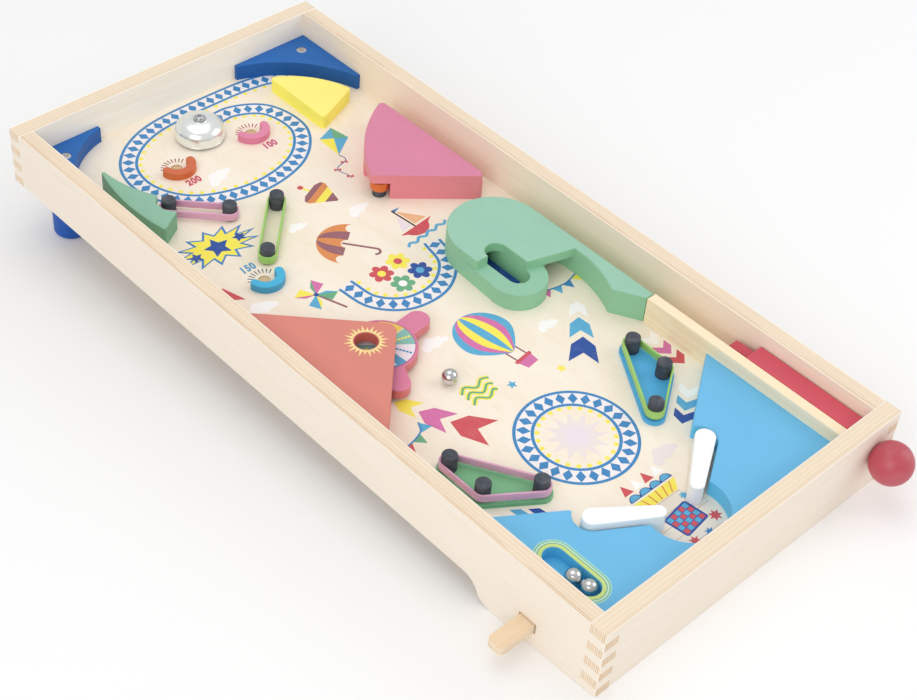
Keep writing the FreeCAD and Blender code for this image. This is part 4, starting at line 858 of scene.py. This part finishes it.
for outline, *place, ink, layer in (
        (BURST, 60, 433, 19.5, -4, RAIL_BLUE, 2), (BURST, 60, 433, 16.5, -4, YELLOW, 3),
        (STAR, 60, 432, 10.5, -4, DEEP_BLUE, 4), (STAR, 41, 432, 5.5, -4, DEEP_BLUE, 4),
        (STAR, 79, 432, 5.5, -4, DEEP_BLUE, 4)):
    board.motif(outline, place, ink, layer)
for number, size in enumerate((11, 8, 5)):
    low = 213 - 6 * number
    breeze = flowing([(93, low + 1), (99, low + 5), (106, low), (113, low + 4), (113 + size / 2, low + 2)])
    board.line(breeze, -1.9, 1.9, YELLOW, 2)
    board.line(breeze, -0.8, 0.8, LEAF, 3)

for outline, *place, ink in (
        (DART, 59.1, 227.2, 11.5, 117, YELLOW), (DART, 66.8, 207.2, 15.2, 114.5, PINK),
        (DART, 79.9, 185.1, 18.6, 121.4, RED), (DART, 28.1, 385, 18, 100, RED),
        (DART, 213.2, 222.8, 10.4, 49.7, WHITE), (DART, 200.4, 208.0, 13.3, 49.6, SKY),
        (DART, 185.6, 191.0, 16.2, 45, DEEP_BLUE),
        (CHEVRON, 232.2, 172.0, 7.8, -90, WHITE), (CHEVRON, 232.2, 159.7, 7.8, -90, PINK),
        (CHEVRON, 232.2, 147.5, 7.8, -90, RED),
        (CHEVRON, 214.8, 121.0, 8.2, 214, WHITE), (CHEVRON, 204.7, 114.1, 8.2, 214, SKY),
        (CHEVRON, 194.4, 107.3, 8.2, 214, DEEP_BLUE),
        (CHEVRON, 47.6, 113.7, 8.2, 326, SKY), (CHEVRON, 57.2, 106.7, 8.2, 326, DEEP_BLUE)):
    board.motif(outline, place, ink)
for *place, ink in ((112, 284, 4, PINK), (176, 266, 4, RED), (126, 200, 4, SKY),
                    (163, 190, 4, YELLOW), (222, 432, 5, SKY), (24, 386, 4, RED)):
    board.motif(star(5, 0.45, 80), place, ink)
for pocket, code in ((BLUE_POCKET, "34587a"), (ORANGE_POCKET, "8e3a34"), (PINK_POCKET, "a8405f")):
    for angle in np.linspace(33, 150, 9):
        board.motif(RAY, (*pocket, 1, angle), paint(code), 3)

# the bed of the tunnel's slot
board.line(flowing([(207, 308), (205, 292), (203.5, 280), (201.5, 269.5)]), -9, 9, DEEP_BLUE, 2)
for at in ((196.5, 268), (201, 266.5), (206, 268), (194, 276), (194, 286)):
    board.shape(disc(*at, 1.7, 18), YELLOW, 3)

# the drain between the flippers
board.shape(disc(*DRAIN, 25.5, 80), paint("efe4d6"), 1)
for number in range(5):
    reach = 25.2 * math.sqrt(1 - ((18 - 9 * number) / 25.5) ** 2)
    groove = placed([(-1, 0), (0, 0), (1, 0)], DRAIN[0], 65 - 9 * number, reach)
    board.line(groove, -0.2, 0.2, paint("b9a995"), 2)
for number in range(4):
    left = 110.5 + 9.4 * number
    board.shape(arc(left + 4.2, 76, 5.0, 0, 180, 16), DEEP_BLUE, 3)
    board.shape(arc(left + 4.2, 76.6, 3.9, 0, 180, 16), SKY, 4)
    board.shape([(left, 82.5), (left + 8.4, 82.5), (left + 4.2, 91)], (RED, WHITE)[number % 2], 2)
board.shape([(110, 74.5), (148, 74.5), (142, 66), (116, 66)], YELLOW, 3)
for x in (116, 122.5, 129, 135.5, 142):
    foot = 125 + 0.72 * (x - 125.5)
    board.shape([(x, 74.3), (x + 1, 74.3), (foot + 1, 66.2), (foot, 66.2)], ORANGE, 4)
tile, cell = (127.5, 46, 1, 8), 4.2
board.motif(rounded_section(5.6 * cell, 4.6 * cell, 0.5 * cell), tile, DEEP_BLUE, 3)
for column in range(5):
    for row in range(4):
        square = placed(box(-0.44, -0.44, 0.44, 0.44), (column - 2) * cell, (row - 1.5) * cell, cell)
        board.motif(square, tile, (RED, SKY)[(column + row) % 2], 4)
for *place, ink in ((144, 36, 5, RED), (118, 30, 4.5, RED), (112, 56, 4, SKY), (141, 60, 3.5, SKY),
                    (131, 29, 4, RAIL_BLUE)):
    board.motif(star(7, 0.5, 80), place, ink, 3)
board.build("playfield_print", "cabinet")

# ---------------- print on the roof, apron and spinner
roof = Print(ROOF_TOP)
for number in range(24):
    tip = (15.4, 13.4)[number % 2]
    roof.motif([(9.6, -1.1), (tip, 0), (9.6, 1.1)], (*ROOF_HOLE, 1, 15 * number), SUN)
roof.line(disc(*ROOF_HOLE, 9.5, 48), -0.6, 0.6, SUN, 3, True)
roof.build("roof_print", "cabinet")

apron = Print(APRON_TOP)
round_ends = np.concatenate([arc(0, 0, 1, 0, 180, 30), arc(0, 0, 1, 180, 360, 30)])
end_centres = np.repeat([(33.5, 71.5), (33.5, 42.0)], 30, 0)
for inner, outer, code in ((7.7, 10.1, "c9de86"), (10.1, 10.7, "77a487"), (10.7, 11.9, "bfe6cd"),
                           (11.9, 12.5, "74ab97"), (12.5, 13.4, "a6dccb")):
    apron.stripe(end_centres + inner * round_ends, end_centres + outer * round_ends, paint(code), 3, True)
apron.build("apron_print", "cabinet")

wheel = Print(WHEEL_TOP)
wheel_rim = disc(0, 0, 1, 72)
for inner, outer, code, layer in ((3.5, 23.2, "f2e9ee", 1), (22.7, 23.3, "b4547c", 3)):
    wheel.stripe(wheel_rim * inner + SPINNER, wheel_rim * outer + SPINNER, paint(code), layer, True)
sector = np.concatenate([arc(0, 0, 4.2, 44, 2, 10), arc(0, 0, 22.7, 0.7, 44.3, 20)])
for number, code in enumerate(("ece3ea", "86bcb2", "efc95a", "d88f98",
                               "ece3ea", "86bcb2", "efc95a", "559fca")):
    turn = 277 + 45 * number
    wheel.motif(sector, (*SPINNER, 1, turn), paint(code), 3)
    for start in np.arange(10.0, 20.5, 2.4):
        dash = box(start, -0.8, start + 1.8, 0.8)
        wheel.motif(dash, (*SPINNER, 1, turn + 22.5), (RAIL_BLUE, YELLOW, RED, WHITE)[number % 4], 4)
wheel.build("spinner_print", "spinner")


# ---------------- numbers
def number_print(text, x, y, code):
    """A plain number in thick slanted figures, laid on the playfield."""
    name, size, narrow = f"number_{text}", 9.2, 0.8
    letters = bpy.data.curves.new(name, "FONT")
    letters.body = text
    letters.align_x = letters.align_y = "CENTER"
    letters.size = 1.0
    letters.shear = 0.1
    letters.offset = 0.05
    letters.space_character = 1.14
    letters.extrude = 0.01
    holder = bpy.data.objects.new(name, letters)
    bpy.context.scene.collection.objects.link(holder)
    bpy.context.view_layer.update()
    made = bpy.data.meshes.new_from_object(holder.evaluated_get(bpy.context.evaluated_depsgraph_get()))
    bpy.data.objects.remove(holder)
    points = np.zeros(len(made.vertices) * 3)
    made.vertices.foreach_get("co", points)
    points = points.reshape(-1, 3)
    flat = placed(points[:, :2] * (narrow, 1.0), x, y, size)
    height = np.where(points[:, 2] > 0, PLAYFIELD + 0.1, PLAYFIELD - INK_ROOT)
    faces = [list(polygon.vertices) for polygon in made.polygons]
    finish = Finish(f"number_ink_{text}", paint(code), 0.36)
    material = finish.apply(finish.mix(finish.noise(scale=0.4) * 0.12, paint(code), WHITE), 0.36)
    make_piece(name, (np.column_stack([flat, height]), faces), material, crease=20)


number_print("200", 92.2, 502.6, "c63a52")
number_print("100", 164.2, 502.6, "c7447c")
number_print("150", 62.1, 401, "4b95c3")


# ---------------- floor, light and camera
def add_stage(reach=12.0):
    """A pale seamless floor that the cabinet stands on."""
    mesh = bpy.data.meshes.new("studio_floor")
    corners = [(x, y, 0) for x, y in box(-reach, -reach, reach, reach)]
    mesh.from_pydata(corners, [], [(0, 1, 2, 3)])
    finish = Finish("studio_paper", (0.93, 0.93, 0.93, 1), 0.9, Specular_IOR_Level=0.1)
    mesh.materials.append(finish.material)
    floor = bpy.data.objects.new("studio_floor", mesh)
    bpy.context.scene.collection.objects.link(floor)


def add_light(name, place, size, power, target=(0, 0, 0.03)):
    """A large square softbox at a place, facing the cabinet."""
    lamp = bpy.data.lights.new(name, "AREA")
    lamp.shape = "SQUARE"
    lamp.size = size
    lamp.energy = power
    holder = bpy.data.objects.new(name, lamp)
    holder.location = place
    holder.rotation_euler = (Vector(target) - Vector(place)).to_track_quat("-Z", "Y").to_euler()
    bpy.context.scene.collection.objects.link(holder)


add_stage()
add_light("overhead_softbox", (0.2, 0.5, 2.6), 2.2, 12.5)
add_light("left_softbox", (-2.0, -1.0, 1.5), 1.6, 21)
add_light("right_softbox", (1.8, -1.2, 1.2), 1.4, 12)

world = bpy.data.worlds.new("studio_white")
bpy.context.scene.world = world
world.use_nodes = True
world.node_tree.nodes["Background"].inputs["Color"].default_value = (1.0, 1.0, 1.0, 1.0)
world.node_tree.nodes["Background"].inputs["Strength"].default_value = 0.68
bpy.context.scene.view_settings.view_transform = "Standard"

lens = bpy.data.cameras.new("camera")
lens.sensor_width = 36.0
lens.lens = 70.55
lens.clip_start, lens.clip_end = 0.05, 40.0
camera = bpy.data.objects.new("camera", lens)
camera.location = (-0.66599, -0.68661, 0.84071)
camera.rotation_euler = [math.radians(angle) for angle in (48.7547, -1.7919, -43.4125)]
bpy.context.scene.collection.objects.link(camera)
bpy.context.scene.camera = camera
